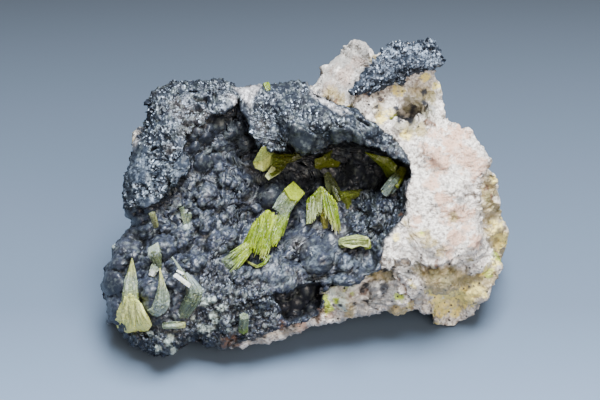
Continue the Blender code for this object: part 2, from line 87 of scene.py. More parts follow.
MATRIX_OUTLINE = [
    (132, 137), (152, 121), (175, 95), (206, 90), (243, 88), (270, 92), (306, 90), (316, 81),
    (326, 68), (337, 57), (341, 49), (350, 40), (357, 39), (367, 44), (370, 53), (384, 53),
    (398, 46), (420, 46), (430, 50), (433, 68), (435, 80), (439, 93), (441, 105), (444, 117),
    (450, 121), (461, 128), (469, 130), (472, 136), (480, 148), (487, 160), (486, 169),
    (495, 174), (500, 184), (498, 192), (500, 202), (499, 216), (506, 229), (507, 247),
    (501, 262), (496, 270), (494, 281), (490, 294), (486, 301), (478, 310), (475, 315),
    (470, 315), (461, 322), (453, 325), (440, 325), (432, 316), (423, 313), (415, 310),
    (401, 312), (390, 311), (381, 309), (368, 314), (360, 314), (349, 319), (340, 323),
    (322, 324), (310, 323), (305, 326), (289, 335), (275, 341), (256, 343), (240, 347),
    (232, 348), (222, 344), (206, 338), (180, 330), (135, 320), (118, 300), (118, 265),
    (140, 232), (134, 205), (136, 160),
]
PLATE_CENTRE = (405, 66)
PLATE_OUTLINE = [
    (348, 92), (360, 80), (367, 70), (378, 58), (382, 50), (396, 43), (408, 44), (420, 42),
    (429, 38), (434, 42), (436, 48), (441, 53), (444, 63), (437, 68), (426, 70), (415, 73),
    (406, 75), (402, 84), (399, 85), (397, 75), (393, 74), (385, 81), (379, 89), (368, 95),
    (360, 101), (352, 97),
]

# The crust's upper shelf: the broken plateau and the ledge that roofs the pocket
SHELF_EDGE = [
    (110, 207), (128, 211), (140, 206), (147, 209), (155, 205), (168, 198), (176, 186),
    (180, 178), (186, 178), (191, 168), (190, 157), (184, 150), (186, 135), (190, 131),
    (196, 124), (207, 120), (213, 113), (219, 114), (232, 110), (238, 101), (241, 109),
    (249, 126), (253, 138), (256, 147), (262, 150), (272, 154), (282, 150), (288, 146),
    (300, 153), (318, 152), (330, 146), (345, 143), (358, 144), (372, 147), (385, 152),
    (398, 160), (425, 163), (425, 60), (110, 60),
]
HOLLOW_EDGE = [
    (270, 292), (289, 290), (300, 285), (313, 282), (325, 284), (324, 300), (318, 315),
    (308, 320), (295, 324), (284, 322), (278, 305),
]

# Depths towards the eye, as (column, row, millimetres)
CRUST_FLOOR_DEPTHS = [
    (201, 134, 4.0), (212, 148, 1.8), (229, 126, 0.8), (245, 150, -1.5), (218, 165, 1),
    (196, 150, 3.0), (180, 210, 4),
    (225, 200, 2), (250, 215, 1.5), (150, 225, 4), (133, 235, 2), (200, 240, 5),
    (160, 250, 7), (122, 262, 5), (108, 290, 4), (125, 305, 7), (150, 300, 9), (180, 288, 9),
    (212, 268, 7), (240, 250, 4), (230, 300, 9), (262, 280, 7.5), (165, 335, 9),
    (130, 330, 6), (210, 335, 8), (250, 325, 7.5), (270, 200, 0.5), (290, 222, 0.5),
    (325, 228, 1), (300, 250, 4), (330, 268, 6), (362, 250, 5), (350, 278, 7.5),
    (290, 276, 8), (300, 168, -6), (335, 172, -9), (375, 178, -8), (318, 192, -4),
    (362, 192, -4.5), (345, 208, -1.5), (385, 215, 3), (395, 195, 2), (300, 310, 7),
]
CRUST_SHELF_DEPTHS = [
    (150, 150, 6), (140, 190, 6), (168, 112, 5.5), (200, 95, 5.0), (238, 92, 4.7),
    (180, 168, 7), (170, 140, 6.5), (260, 112, 5.5), (262, 140, 7.5), (300, 106, 6.5),
    (296, 122, 8.6), (322, 125, 9.0), (345, 123, 9.0), (366, 130, 8.4), (300, 146, 6.2),
    (325, 148, 5.6), (345, 143, 5.6), (370, 144, 6.4), (390, 152, 7), (300, 88, 4.2),
    (340, 106, 5), (202, 114, 4.8),
]
HOLLOW_DEPTH = 6.5 * MM
CRUST_BACK_DEPTHS = [
    (128, 195, -5.5), (124, 232, -5.5), (150, 120, -5.5), (200, 90, -5), (290, 90, -6),
    (230, 200, -6), (110, 285, -4), (140, 290, -3), (150, 345, -1), (235, 335, -1.2),
    (300, 300, -3.5), (345, 175, -13), (300, 165, -11), (400, 200, -9), (380, 255, -4),
    (330, 300, -2), (270, 250, -5),
]
MATRIX_FRONT_DEPTHS = [
    (406, 200, 8), (410, 240, 8.5), (432, 150, 6.5), (450, 128, 3.5), (470, 158, 4.5),
    (478, 200, 4), (450, 200, 8), (440, 240, 9), (468, 240, 7), (492, 225, 1),
    (500, 250, -2), (402, 272, 9), (440, 276, 8), (480, 280, 2), (430, 300, 2.5),
    (452, 316, -3), (388, 290, 6), (350, 300, 6), (376, 305, 4), (340, 316, 4.5),
    (300, 327, 5), (250, 341, 5), (347, 55, -1.5), (392, 58, 3.5), (426, 56, 2.5),
    (335, 78, 0), (325, 90, 1.5), (400, 88, 3), (428, 88, 0.5), (412, 118, 0), (386, 108, 4),
    (398, 132, 5), (372, 112, 4.5), (135, 138, -2), (248, 92, 1.5), (120, 280, -3),
    (200, 200, -2),
]
PLATE_FRONT_DEPTHS = [
    (355, 92, 6.5), (378, 78, 6), (398, 56, 4.5), (425, 50, 3.5), (438, 62, 4), (410, 66, 6),
]
PLATE_THICKNESS = 3.2 * MM

# Rounded lumps of the crust: (column, row, radius in pixels, how knobbly from 0 to 1)
LUMPS = [
    (304, 138, 16, 0.1), (341, 134, 13, 0.4), (358, 138, 9, 0.4), (372, 143, 8, 0.8),
    (293, 123, 7, 0.1), (318, 143, 8, 0.1),
    (231, 133, 8, 0.1), (246, 144, 9, 0.15), (221, 123, 8, 0.1), (212, 127, 5, 0.1),
    (207, 138, 6.5, 0.1), (198, 131, 6, 0.1), (192, 138, 5, 0.2), (240, 125, 5, 0.1),
    (233, 157, 6.5, 0.3), (203, 163, 10, 0.3), (215, 159, 7, 0.3), (219, 168, 6, 0.7),
    (195, 147, 6, 0.3), (206, 150, 6, 0.6), (216, 146, 6, 0.6), (241, 136, 5, 0.1),
    (248, 180, 7, 0.5), (271, 196, 14, 0.1), (243, 192, 8, 0.6), (206, 196, 12, 0.9),
    (181, 184, 6, 0.5), (128, 214, 6, 0.1), (137, 221, 6, 0.1), (150, 208, 7, 0.1),
    (135, 209, 4, 0.1), (224, 181, 8, 0.9), (190, 210, 9, 0.9), (222, 203, 9, 0.9),
    (301, 211, 10, 0.2), (302, 226, 9, 0.2), (317, 256, 18, 0.35), (292, 238, 9, 0.3),
    (330, 238, 8, 0.1), (278, 229, 6, 0.3), (291, 252, 8, 0.4),
    (163, 247, 13, 0.7), (112, 283, 13, 0.1), (150, 291, 13, 0.5), (154, 306, 12, 0.1),
    (130, 250, 12, 0.8), (182, 240, 12, 1), (205, 222, 11, 1), (230, 215, 10, 1),
    (195, 262, 11, 1), (175, 262, 9, 0.8), (120, 262, 9, 0.6), (216, 245, 10, 1),
    (296, 303, 9, 0.1), (294, 316, 9, 0.1), (308, 290, 10, 0.15), (284, 306, 7, 0.3),
    (312, 310, 8, 0.2), (369, 200, 14, 1), (356, 222, 11, 1), (376, 222, 11, 1),
    (318, 189, 9, 0.3), (341, 182, 10, 0.2), (362, 243, 9, 0.6), (345, 262, 9, 0.8),
    (240, 275, 10, 1), (262, 300, 11, 0.7), (225, 325, 9, 0.7), (160, 344, 11, 1),
    (137, 338, 9, 1), (112, 306, 9, 0.4), (113, 318, 6, 0.4), (230, 238, 10, 1),
    (257, 165, 7, 0.4), (355, 170, 11, 0.3), (330, 170, 9, 0.3), (372, 182, 9, 0.4),
    (146, 232, 8, 0.8), (163, 226, 8, 0.9), (244, 320, 8, 0.6), (255, 208, 6, 0.6),
    (386, 205, 9, 0.9), (377, 250, 7, 0.7),
]
LUMP_RISE = 0.9
# Smooth cleaved patches of the shelf
CLEAVED_PATCHES = [
    [(170, 172), (177, 160), (184, 155), (189, 158), (191, 168), (187, 177), (178, 178)],
    [(235, 105), (244, 107), (252, 118), (254, 130), (247, 126), (238, 115)],
    [(138, 201), (150, 196), (160, 200), (160, 206), (148, 210), (138, 207)],
    [(195, 89), (204, 89), (205, 95), (196, 97)],
    [(219, 102), (231, 103), (233, 109), (224, 113)],
    [(168, 192), (177, 190), (180, 196), (172, 202)],
    [(296, 118), (303, 119), (310, 126), (304, 127)],
    [(253, 268), (268, 262), (285, 266), (296, 274), (292, 285), (276, 292), (262, 286)],
]
# Round spots, here and below, as (column, row, radius in pixels)
CHALKY_PATCHES = [
    (184, 212, 4), (186, 219, 5), (187, 226, 5), (180, 206, 3), (205, 302, 6), (212, 300, 5),
    (221, 308, 5), (214, 316, 6), (202, 328, 6), (210, 329, 5), (215, 322, 4), (168, 342, 5),
    (174, 352, 5), (158, 348, 4), (171, 336, 4), (113, 247, 3), (201, 291, 4), (186, 302, 3),
    (182, 315, 4), (150, 334, 4), (220, 222, 1.6), (228, 330, 3), (193, 318, 3),
]
# The smooth bulges under the pocket's rim, painted near black as shade
ROOF_BULGES = [
    (284, 132), (288, 124), (295, 121), (303, 125), (309, 131), (315, 134), (322, 138),
    (328, 137), (330, 129), (345, 127), (358, 130), (364, 137), (371, 142), (380, 150),
    (372, 150), (358, 148), (345, 147), (330, 152), (318, 156), (300, 156), (288, 152),
    (283, 143),
]
RINGED_MOUNDS = [(206, 196, 13.5), (244, 191, 9.5), (163, 247, 14), (155, 300, 16)]
MOUND_GROOVE = 0.45 * MM
MOUND_RIDGE = 0.30 * MM
RIGHT_RIM_RISE = 3.8 * MM
# Bands of painted sheen: lighter blue on the shelf, and a thin light line along the rim above the
# pocket
PAINTED_SHEEN_BANDS = [
    [(150, 138), (178, 150), (184, 186), (162, 208), (134, 200), (128, 172)],
    [(296, 117), (314, 118), (328, 128), (350, 121), (372, 128), (392, 142), (404, 157),
     (397, 158), (384, 146), (366, 135), (345, 128), (328, 136), (318, 130), (302, 122)],
    [(150, 98), (168, 92), (176, 96), (172, 106), (156, 106)],
    [(176, 108), (200, 104), (206, 116), (190, 120), (178, 116)],
    [(262, 84), (282, 88), (286, 96), (268, 98)],
    [(255, 108), (272, 108), (276, 116), (260, 118)],
    [(196, 88), (206, 88), (207, 98), (196, 98)],
    [(320, 96), (352, 104), (362, 114), (340, 112), (322, 106)],
]
QUARTZ_PATCHES = [
    [(232, 88), (241, 84), (252, 84), (263, 86), (258, 92), (253, 100), (251, 109),
     (246, 104), (240, 96)],
    [(228, 95), (233, 95), (239, 103), (234, 106)],
    [(306, 82), (314, 88), (322, 96), (334, 104), (345, 108), (352, 112), (340, 114),
     (326, 106), (312, 98)],
    [(131, 130), (140, 126), (141, 140), (136, 152), (131, 148)],
]
ICY_PATCHES = [
    (262, 275, 7), (272, 270, 7), (281, 274, 7), (288, 280, 6), (275, 282, 7), (348, 262, 7),
    (357, 258, 6), (366, 262, 5), (345, 268, 6), (333, 256, 5), (312, 262, 6), (315, 250, 6),
    (340, 278, 6), (328, 280, 5), (372, 262, 4), (318, 268, 5),
]
DRUSY_AREA = [
    (200, 268), (232, 276), (262, 288), (274, 296), (280, 322), (250, 336), (205, 345),
    (196, 336), (176, 350), (150, 356), (128, 342), (140, 330), (180, 330), (196, 300),
]
CRACKS = [
    [(189, 94), (199, 98), (207, 96), (208, 111), (204, 103), (196, 101)],
    [(180, 121), (188, 124), (197, 121), (196, 124), (188, 128), (181, 124)],
    [(214, 88), (216, 96), (215, 104), (212, 96)], [(148, 150), (156, 146), (158, 148), (150, 153)],
    [(166, 176), (171, 183), (169, 190), (166, 184)], [(262, 122), (270, 128), (268, 131)],
    [(352, 111), (362, 119), (372, 125), (370, 127), (358, 120)],
]
DUSTY_SPOTS = [
    (186, 112, 15), (200, 117, 13), (186, 130, 12), (178, 104, 10), (262, 125, 10), (170, 150, 9),
    (270, 212, 12), (300, 243, 12), (340, 232, 12), (250, 200, 9), (250, 170, 9), (224, 345, 12),
]
SHADED_BOWL = [(222, 136, 30), (205, 152, 20), (296, 176, 40), (345, 176, 44)]
RUST_SPOTS = [(226, 342, 7), (234, 338, 5), (281, 324, 6), (322, 311, 5), (401, 215, 3)]


def outer(lengths, direction):
    return np.asarray(lengths)[..., None] * direction


def place(column, row, depth):
    """The point seen at a column and row, at a depth towards the eye: lines of sight spread
    from the eye, so a nearer point lies closer to the middle line."""
    spread = PIXEL * (SIGHT_DISTANCE - depth) / SIGHT_DISTANCE
    return (
        SIGHT_POINT
        + outer((column - PHOTO_CENTRE[0]) * spread, RIGHT)
        + outer((PHOTO_CENTRE[1] - row) * spread, UPWARDS)
        + outer(depth, TOWARDS)
    )


def floor_depth(row, height=0.0):
    """The depth at which the line of sight of a row is at a height above the floor."""
    up = (PHOTO_CENTRE[1] - row) * PIXEL
    rise = up * UPWARDS[2]
    return (height - SIGHT_POINT[2] - rise) / (TOWARDS[2] - rise / SIGHT_DISTANCE)


def blended(column, row, marks):
    """The mean of the marked depths, each weighted by one over its distance to the fourth,
    softened close to the mark."""
    total = np.zeros(np.shape(column))
    weights = np.zeros(np.shape(column))
    for mark_column, mark_row, depth in marks:
        weight = 1 / ((column - mark_column) ** 2 + (row - mark_row) ** 2 + MARK_SOFTNESS) ** 2
        total += weight * depth * MM
        weights += weight
    return total / weights


def inside_by(column, row, polygon):
    """Distance in pixels to a polygon's nearest edge, positive inside: crossings of a level
    line are counted for the sign."""
    nearest = np.full(np.shape(column), np.inf)
    inside = np.zeros(np.shape(column), bool)
    for (x0, y0), (x1, y1) in zip(polygon, polygon[1:] + polygon[:1]):
        along = ((column - x0) * (x1 - x0) + (row - y0) * (y1 - y0)) / (
            (x1 - x0) ** 2 + (y1 - y0) ** 2
        )
        along = np.clip(along, 0, 1)
        gap = np.hypot(column - x0 - along * (x1 - x0), row - y0 - along * (y1 - y0))
        nearest = np.minimum(nearest, gap)
        if y0 != y1:
            crossing = x0 + (row - y0) * (x1 - x0) / (y1 - y0)
            inside ^= ((row > min(y0, y1)) & (row <= max(y0, y1))) & (column < crossing)
    return np.where(inside, nearest, -nearest)


def smooth_step(value, low, high):
    t = np.clip((value - low) / (high - low), 0, 1)
    return t * t * (3 - 2 * t)


def hump(value, middle, width):
    """1 at the middle value, and falling away like a bell to each side."""
    return np.exp(-(((value - middle) / width) ** 2))


def reach(centre, outline, angle):
    """Distance in pixels from the centre to the outline, at an angle counted anticlockwise."""
    spokes = np.array(outline, float) - centre
    angles = np.arctan2(-spokes[:, 1], spokes[:, 0])
    order = np.argsort(angles)
    lengths = np.hypot(spokes[:, 0], spokes[:, 1])[order]
    return np.interp(angle, angles[order], lengths, period=2 * math.pi)


def edge_share(column, row, centre, outline):
    """How far a place is from the centre to the outline, from 0 to 1, and its angle."""
    across, up = column - centre[0], centre[1] - row
    angle = np.arctan2(up, across)
    return np.clip(np.hypot(across, up) / reach(centre, outline, angle), 0, 1), angle


def rounding(share, power=8):
    """From 0 in the middle to 1 at the edge, like the fall of a superellipse."""
    return 1 - (1 - share**power) ** 0.4


def spots(column, row, marks):
    """The strongest of round spots (column, row, radius): 1 at a middle, 0 at its edge."""
    best = np.zeros(np.shape(column))
    for mark_column, mark_row, radius in marks:
        gap = np.hypot(column - mark_column, row - mark_row) / radius
        best = np.maximum(best, 1 - gap)
    return np.clip(best, 0, 1)


# Noise in real space or in the picture, on whole arrays of points


def flat_place(column, row, pitch):
    """Places in the picture's plane, in cells of the given pitch in pixels."""
    return np.stack([column / pitch, row / pitch, np.zeros(len(column))], -1)


def lattice_value(i, j, k, seed):
    """A repeatable number from 0 to 1 for each whole-number place and seed."""
    mask = np.int64(0xFFFFFFFF)
    n = (i * 73856093) ^ (j * 19349663) ^ (k * 83492791) ^ (seed * 40503)
    n = n & mask
    n = ((n ^ (n >> 15)) * 739982445) & mask
    n = ((n ^ (n >> 12)) * 695872825) & mask
    n = n ^ (n >> 15)
    return n / 2.0**32


def soft_noise(points, seed):
    """Values at the corners of a unit lattice, smoothly mixed in between, from -1 to 1."""
    base = np.floor(points).astype(np.int64)
    part = points - base
    part = part * part * (3 - 2 * part)
    total = np.zeros(len(points))
    for di in (0, 1):
        for dj in (0, 1):
            for dk in (0, 1):
                corner = lattice_value(base[:, 0] + di, base[:, 1] + dj, base[:, 2] + dk, seed)
                share = (
                    (part[:, 0] if di else 1 - part[:, 0])
                    * (part[:, 1] if dj else 1 - part[:, 1])
                    * (part[:, 2] if dk else 1 - part[:, 2])
                )
                total += share * corner
    return 2 * total - 1


def cloud_noise(points, seed, octaves=3):
    """Soft noise added to itself at twice the pitch and half the height, several times."""
    total = np.zeros(len(points))
    for octave in range(octaves):
        total += soft_noise(points * 2.0**octave + 17.3 * octave, seed + octave) / 2**octave
    return total


def neighbours(points, seed):
    """For the 27 lattice cells round each point: the vector to the cell's own random seed
    point, one more random number of the cell, and the three that place its seed point."""
    base = np.floor(points).astype(np.int64)
    for di in (-1, 0, 1):
        for dj in (-1, 0, 1):
            for dk in (-1, 0, 1):
                i, j, k = base[:, 0] + di, base[:, 1] + dj, base[:, 2] + dk
                jitter = np.stack([lattice_value(i, j, k, seed + s) for s in (0, 1, 2)], -1)
                centre = np.stack([i, j, k], -1) + jitter
                yield centre - points, lattice_value(i, j, k, seed + 3), jitter


def bubbles(points, seed, small=0.4, large=0.75):
    """Height of the tallest of the balls that are scattered one to a cell: for each, the root
    of its radius squared less the distance squared."""
    best = np.zeros(len(points))
    for gap, size, _ in neighbours(points, seed):
        radius = small + (large - small) * size
        best = np.maximum(best, np.sqrt(np.clip(radius**2 - (gap**2).sum(1), 0, None)))
    return best


def domes(column, row, pitch, seed, small=0.45, large=0.75):
    """Height in pixels of round domes scattered over the picture, one to a lattice cell: for
    each, the root of its radius squared less the distance squared."""
    across, down = column / pitch, row / pitch
    base_across, base_down = np.floor(across).astype(np.int64), np.floor(down).astype(np.int64)
    best = np.zeros(len(column))
    for di in (-1, 0, 1):
        for dj in (-1, 0, 1):
            i, j = base_across + di, base_down + dj
            radius = small + (large - small) * lattice_value(i, j, 2, seed)
            gap = (i + lattice_value(i, j, 0, seed) - across) ** 2
            gap = gap + (j + lattice_value(i, j, 1, seed) - down) ** 2
            best = np.maximum(best, np.sqrt(np.clip(radius**2 - gap, 0, None)))
    return best * pitch


def grains(points, seed):
    """Height of a heap of tilted flat grains: each point takes the plane of its nearest
    cell's seed. Also gives that cell's random number."""
    nearest = np.full(len(points), np.inf)
    height = np.zeros(len(points))
    mark = np.zeros(len(points))
    for gap, size, jitter in neighbours(points, seed):
        distance = (gap**2).sum(1)
        closer = distance < nearest
        nearest = np.where(closer, distance, nearest)
        tilt = (gap * (jitter - 0.5)).sum(1) * 2 + (size - 0.5) * 0.6
        height = np.where(closer, tilt, height)
        mark = np.where(closer, size, mark)
    return height, mark


# Meshes


def disk_grid(cells):
    """A square grid bent into a unit disk, so that squares become rings about the middle."""
    line = np.linspace(-1, 1, cells + 1)
    u, v = np.meshgrid(line, line, indexing="ij")
    wide = np.abs(u) >= np.abs(v)
    radius = np.where(wide, u, v)
    safe = np.where(radius == 0, 1, radius)
    angle = np.where(wide, math.pi / 4 * v / safe, math.pi / 2 - math.pi / 4 * u / safe)
    return radius * np.cos(angle), radius * np.sin(angle)


def grid_numbers(cells):
    return np.arange((cells + 1) ** 2).reshape(cells + 1, cells + 1)


def rim_loop(cells):
    """Numbers of the grid's outer points, in order round the disk."""
    number = grid_numbers(cells)
    return np.concatenate(
        [number[:-1, 0], number[-1, :-1], number[:0:-1, -1], number[0, :0:-1]]
    )


def grid_quads(number):
    quads = [number[:-1, :-1], number[1:, :-1], number[1:, 1:], number[:-1, 1:]]
    return np.stack(quads, -1).reshape(-1, 4)


def ragged(angle, seed, coarse, fine):
    """Uneven reach of a broken edge, in pixels: two pitches of noise round the circle."""
    circle = np.stack([np.cos(angle), np.sin(angle), np.zeros(np.shape(angle))], -1)
    flat = circle.reshape(-1, 3)
    uneven = coarse * soft_noise(flat * 14, seed) + fine * soft_noise(flat * 45, seed + 5)
    return uneven.reshape(np.shape(angle))


def evened(column, row, face):
    """Slides the points of a grid along its lines, so that a steep step gets its share of
    them. Half of each line's points are spread evenly over the picture, and half over the
    line's running length in space."""
    for turned in (False, True):
        if turned:
            column, row = column.T, row.T
        depth = face(column.ravel(), row.ravel()).reshape(column.shape)
        steps = np.linalg.norm(np.diff(place(column, row, depth), axis=0), axis=-1)
        flat_steps = np.hypot(np.diff(column, axis=0), np.diff(row, axis=0))
        steps = steps / steps.sum(axis=0) + flat_steps / flat_steps.sum(axis=0)
        run = np.concatenate([np.zeros((1, column.shape[1])), np.cumsum(steps, axis=0)]) / 2
        wanted = np.linspace(0, 1, column.shape[0])[:, None] * np.ones(column.shape[1])
        lines = 2.0 * np.arange(column.shape[1])
        query, known = (wanted + lines).T.ravel(), (run + lines).T.ravel()
        column = np.interp(query, known, column.T.ravel()).reshape(column.T.shape).T
        row = np.interp(query, known, row.T.ravel()).reshape(row.T.shape).T
        if turned:
            column, row = column.T, row.T
    return column, row


# How far out the side of a shell lies, as a share of its rim's even course, and over how many
# points each way that course is evened
SIDE_REACH = 0.985
EVENED_POINTS = 9


def drawn_in_share(distance):
    """How far each point of a rim is drawn in, as a share of its distance from the centre, to
    lie no further out than a little inside the rim's even course."""
    shifts = range(-EVENED_POINTS, EVENED_POINTS + 1)
    even = np.mean([np.roll(distance, shift) for shift in shifts], axis=0)
    return np.minimum(SIDE_REACH * even / distance - 1, 0)


def shell(centre, outline, front, back, cells, rings, seed, uneven=(0, 0), fan=False):
    """A closed form: a disk grid for the face, rings (share of reach, share of the way to the
    back) from its rim down the side, and then a second grid behind, or a fan to one middle
    point. Behind the rim the side lies a little inside the rim's even course, so that the
    rim's raggedness isn't drawn out into grooves: the pull inwards grows over the first fifth
    of the way back, and before a second grid it fades again over the last fifth. Gives the
    points, the quads, the triangles, and each point's column, row and share of the way to the
    back."""
    across, up = disk_grid(cells)
    angle = np.arctan2(up, across)
    share = np.hypot(across, up)
    distance = share * (reach(centre, outline, angle) + ragged(angle, seed, *uneven))
    column = centre[0] + distance * np.cos(angle)
    row = centre[1] - distance * np.sin(angle)
    column, row = evened(column, row, front)
    column, row = column.ravel(), row.ravel()
    face_depth = front(column, row)
    loop = rim_loop(cells)
    number = grid_numbers(cells)
    columns, rows, depths = [column], [row], [face_depth]
    behind = [np.zeros(len(column))]
    faces = [grid_quads(number)]
    previous, following = loop, number.size
    drawn_in = drawn_in_share(np.hypot(column[loop] - centre[0], row[loop] - centre[1]))
    for reach_share, back_share in rings:
        pull = min(1, 5 * back_share, 1 if fan else 5 - 5 * back_share)
        ring_share = reach_share * (1 + pull * drawn_in)
        ring_column = centre[0] + (column[loop] - centre[0]) * ring_share
        ring_row = centre[1] + (row[loop] - centre[1]) * ring_share
        far = back(ring_column, ring_row)
        columns.append(ring_column)
        rows.append(ring_row)
        depths.append(face_depth[loop] + (far - face_depth[loop]) * back_share)
        behind.append(np.full(len(loop), back_share))
        ring = np.arange(following, following + len(loop))
        following += len(loop)
        faces.append(np.stack([previous, ring, np.roll(ring, -1), np.roll(previous, -1)], -1))
        previous = ring
    if fan:
        inner_column, inner_row = np.array([float(centre[0])]), np.array([float(centre[1])])
        middle = np.full(len(previous), following)
        triangles = np.stack([previous, middle, np.roll(previous, -1)], -1)
    else:
        inner = np.setdiff1d(number, loop)
        inner_column = centre[0] + (column[inner] - centre[0]) * reach_share
        inner_row = centre[1] + (row[inner] - centre[1]) * reach_share
        back_number = np.empty(number.size, int)
        back_number[inner] = following + np.arange(len(inner))
        back_number[loop] = previous
        faces.append(grid_quads(back_number.reshape(number.shape))[:, ::-1])
        triangles = np.empty((0, 3), int)
    columns.append(inner_column)
    rows.append(inner_row)
    depths.append(back(inner_column, inner_row))
    behind.append(np.ones(len(inner_column)))
    column, row = np.concatenate(columns), np.concatenate(rows)
    depth = np.maximum(np.concatenate(depths), floor_depth(row))
    points = place(column, row, depth)
    return points, np.concatenate(faces), triangles, column, row, np.concatenate(behind)


def normals_of(points, quads):
    """Each point's normal: the sum of the cross products of its faces' diagonals."""
    first = points[quads[:, 2]] - points[quads[:, 0]]
    second = points[quads[:, 3]] - points[quads[:, 1]]
    cross = np.cross(first, second)
    total = np.zeros_like(points)
    for corner in range(4):
        np.add.at(total, quads[:, corner], cross)
    return total / np.maximum(np.linalg.norm(total, axis=1), 1e-20)[:, None]


def pushed_out(points, quads, relief):
    """The points moved along their normals by the relief."""
    return points + relief[:, None] * normals_of(points, quads)


def add_mesh(name, points, faces, finish, masks, smooth=True):
    """Puts whole arrays into a mesh, with named masks or colours on its points."""
    mesh = bpy.data.meshes.new(name)
    mesh.vertices.add(len(points))
    mesh.vertices.foreach_set("co", np.ascontiguousarray(points, np.float32).ravel())
    loops = np.concatenate([np.asarray(f).ravel() for f in faces])
    counts = np.concatenate([np.full(len(f), np.shape(f)[1]) for f in faces])
    mesh.loops.add(len(loops))
    mesh.loops.foreach_set("vertex_index", loops.astype(np.int32))
    mesh.polygons.add(len(counts))
    starts = np.concatenate([[0], np.cumsum(counts)[:-1]])
    mesh.polygons.foreach_set("loop_start", starts.astype(np.int32))
    mesh.update(calc_edges=True)
    mesh.polygons.foreach_set("use_smooth", np.full(len(counts), smooth))
    for key, values in masks.items():
        values = np.asarray(values, np.float32)
        if values.ndim == 2:
            layer = mesh.attributes.new(key, "FLOAT_COLOR", "POINT")
            full = np.concatenate([values, np.ones((len(values), 1), np.float32)], 1)
            layer.data.foreach_set("color", full.ravel())
        else:
            layer = mesh.attributes.new(key, "FLOAT", "POINT")
            layer.data.foreach_set("value", values)
    mesh.validate()
    mesh.materials.append(finish)
    piece = bpy.data.objects.new(name, mesh)
    bpy.context.scene.collection.objects.link(piece)
    return piece


# The crust


def shelf_share(column, row):
    """1 on the broken shelf and 0 on the bubbly floor, with a ragged line between."""
    flat = flat_place(column, row, 11)
    shift = 2.6 * soft_noise(flat, 41) + 1.6 * soft_noise(flat * 2.9, 43)
    return smooth_step(inside_by(column, row, SHELF_EDGE) + shift, -0.4, 0.9)


def crust_rim_drop(column, row):
    """How far the face falls back at the crust's rim, further round the free edge than on the
    side that meets the rock, and each place's angle round the crust."""
    share, angle = edge_share(column, row, CRUST_CENTRE, CRUST_OUTLINE)
    free = 1 - smooth_step(np.cos(angle + math.radians(18)), 0.1, 0.45)
    return rounding(share) * (1.0 + 4.5 * free) * MM, angle


def crust_face(column, row):
    """The crust's face: the floor of the bowl and pocket, or the shelf inside its edge, less
    the hollow at the foot, rounded down at the free edges, with its large lumps and with a
    groove and a ridge round each ringed mound."""
    floor = blended(column, row, CRUST_FLOOR_DEPTHS)
    floor = floor - HOLLOW_DEPTH * smooth_step(inside_by(column, row, HOLLOW_EDGE), 0, 3)
    shelf = blended(column, row, CRUST_SHELF_DEPTHS)
    on_shelf = shelf_share(column, row)
    rise, _ = lump_rise(column, row)
    for mound_column, mound_row, radius in RINGED_MOUNDS:
        gap = np.hypot(column - mound_column, row - mound_row) / radius
        rise = rise - MOUND_GROOVE * hump(gap, 1.0, 0.12) + MOUND_RIDGE * hump(gap, 1.28, 0.16)
    roof = patch_share(column, row, [ROOF_BULGES], 3.0)
    rise = rise * (1 - on_shelf * (1 - roof))
    depth = floor + (shelf - floor) * on_shelf
    drop, angle = crust_rim_drop(column, row)
    depth = depth - drop
    near_rim = 1 - smooth_step(inside_by(column, row, CRUST_OUTLINE), 0, 10)
    right_side = smooth_step(np.cos(angle), 0.75, 0.93) * smooth_step(row, 150, 175)
    depth = depth + RIGHT_RIM_RISE * near_rim * right_side
    depth = np.maximum(depth, floor_depth(row, 2 * FLOOR_MARGIN))
    return depth + rise


def lump_rise(column, row):
    """Height of the lumps, each a ball whose centre lies on the face, and how knobbly the
    tallest one is."""
    rise = np.zeros(np.shape(column))
    knobbly = np.full(np.shape(column), 0.8)
    for lump_column, lump_row, radius, rough in LUMPS:
        gap = np.hypot(column - lump_column, row - lump_row) / radius
        ball = radius * PIXEL * LUMP_RISE * np.sqrt(np.clip(1 - gap**2, 0, 1))
        knobbly = np.where(ball > rise, rough, knobbly)
        rise = np.maximum(rise, ball)
    return rise, knobbly


def crust_back(column, row):
    back = blended(column, row, CRUST_BACK_DEPTHS)
    return np.maximum(back, floor_depth(row, FLOOR_MARGIN))


def inside_any(column, row, patches):
    """Distance in pixels to a patch's edge, positive inside, for the patch where it is most."""
    best = np.full(np.shape(column), -9.0)
    for patch in patches:
        best = np.maximum(best, inside_by(column, row, patch))
    return best


def patch_share(column, row, patches, soft=1.5):
    """1 inside the patches and 0 outside, with an edge of the given softness in pixels."""
    return smooth_step(inside_any(column, row, patches), -soft * 0.3, soft * 0.7)


def leaning(place_mm, share):
    """Places scaled along the picture's rising diagonal: with a share above one, what is
    scattered over them comes out shorter that way."""
    diagonal = 0.80 * RIGHT + 0.60 * UPWARDS
    return place_mm - (1 - share) * outer(place_mm @ diagonal, diagonal)


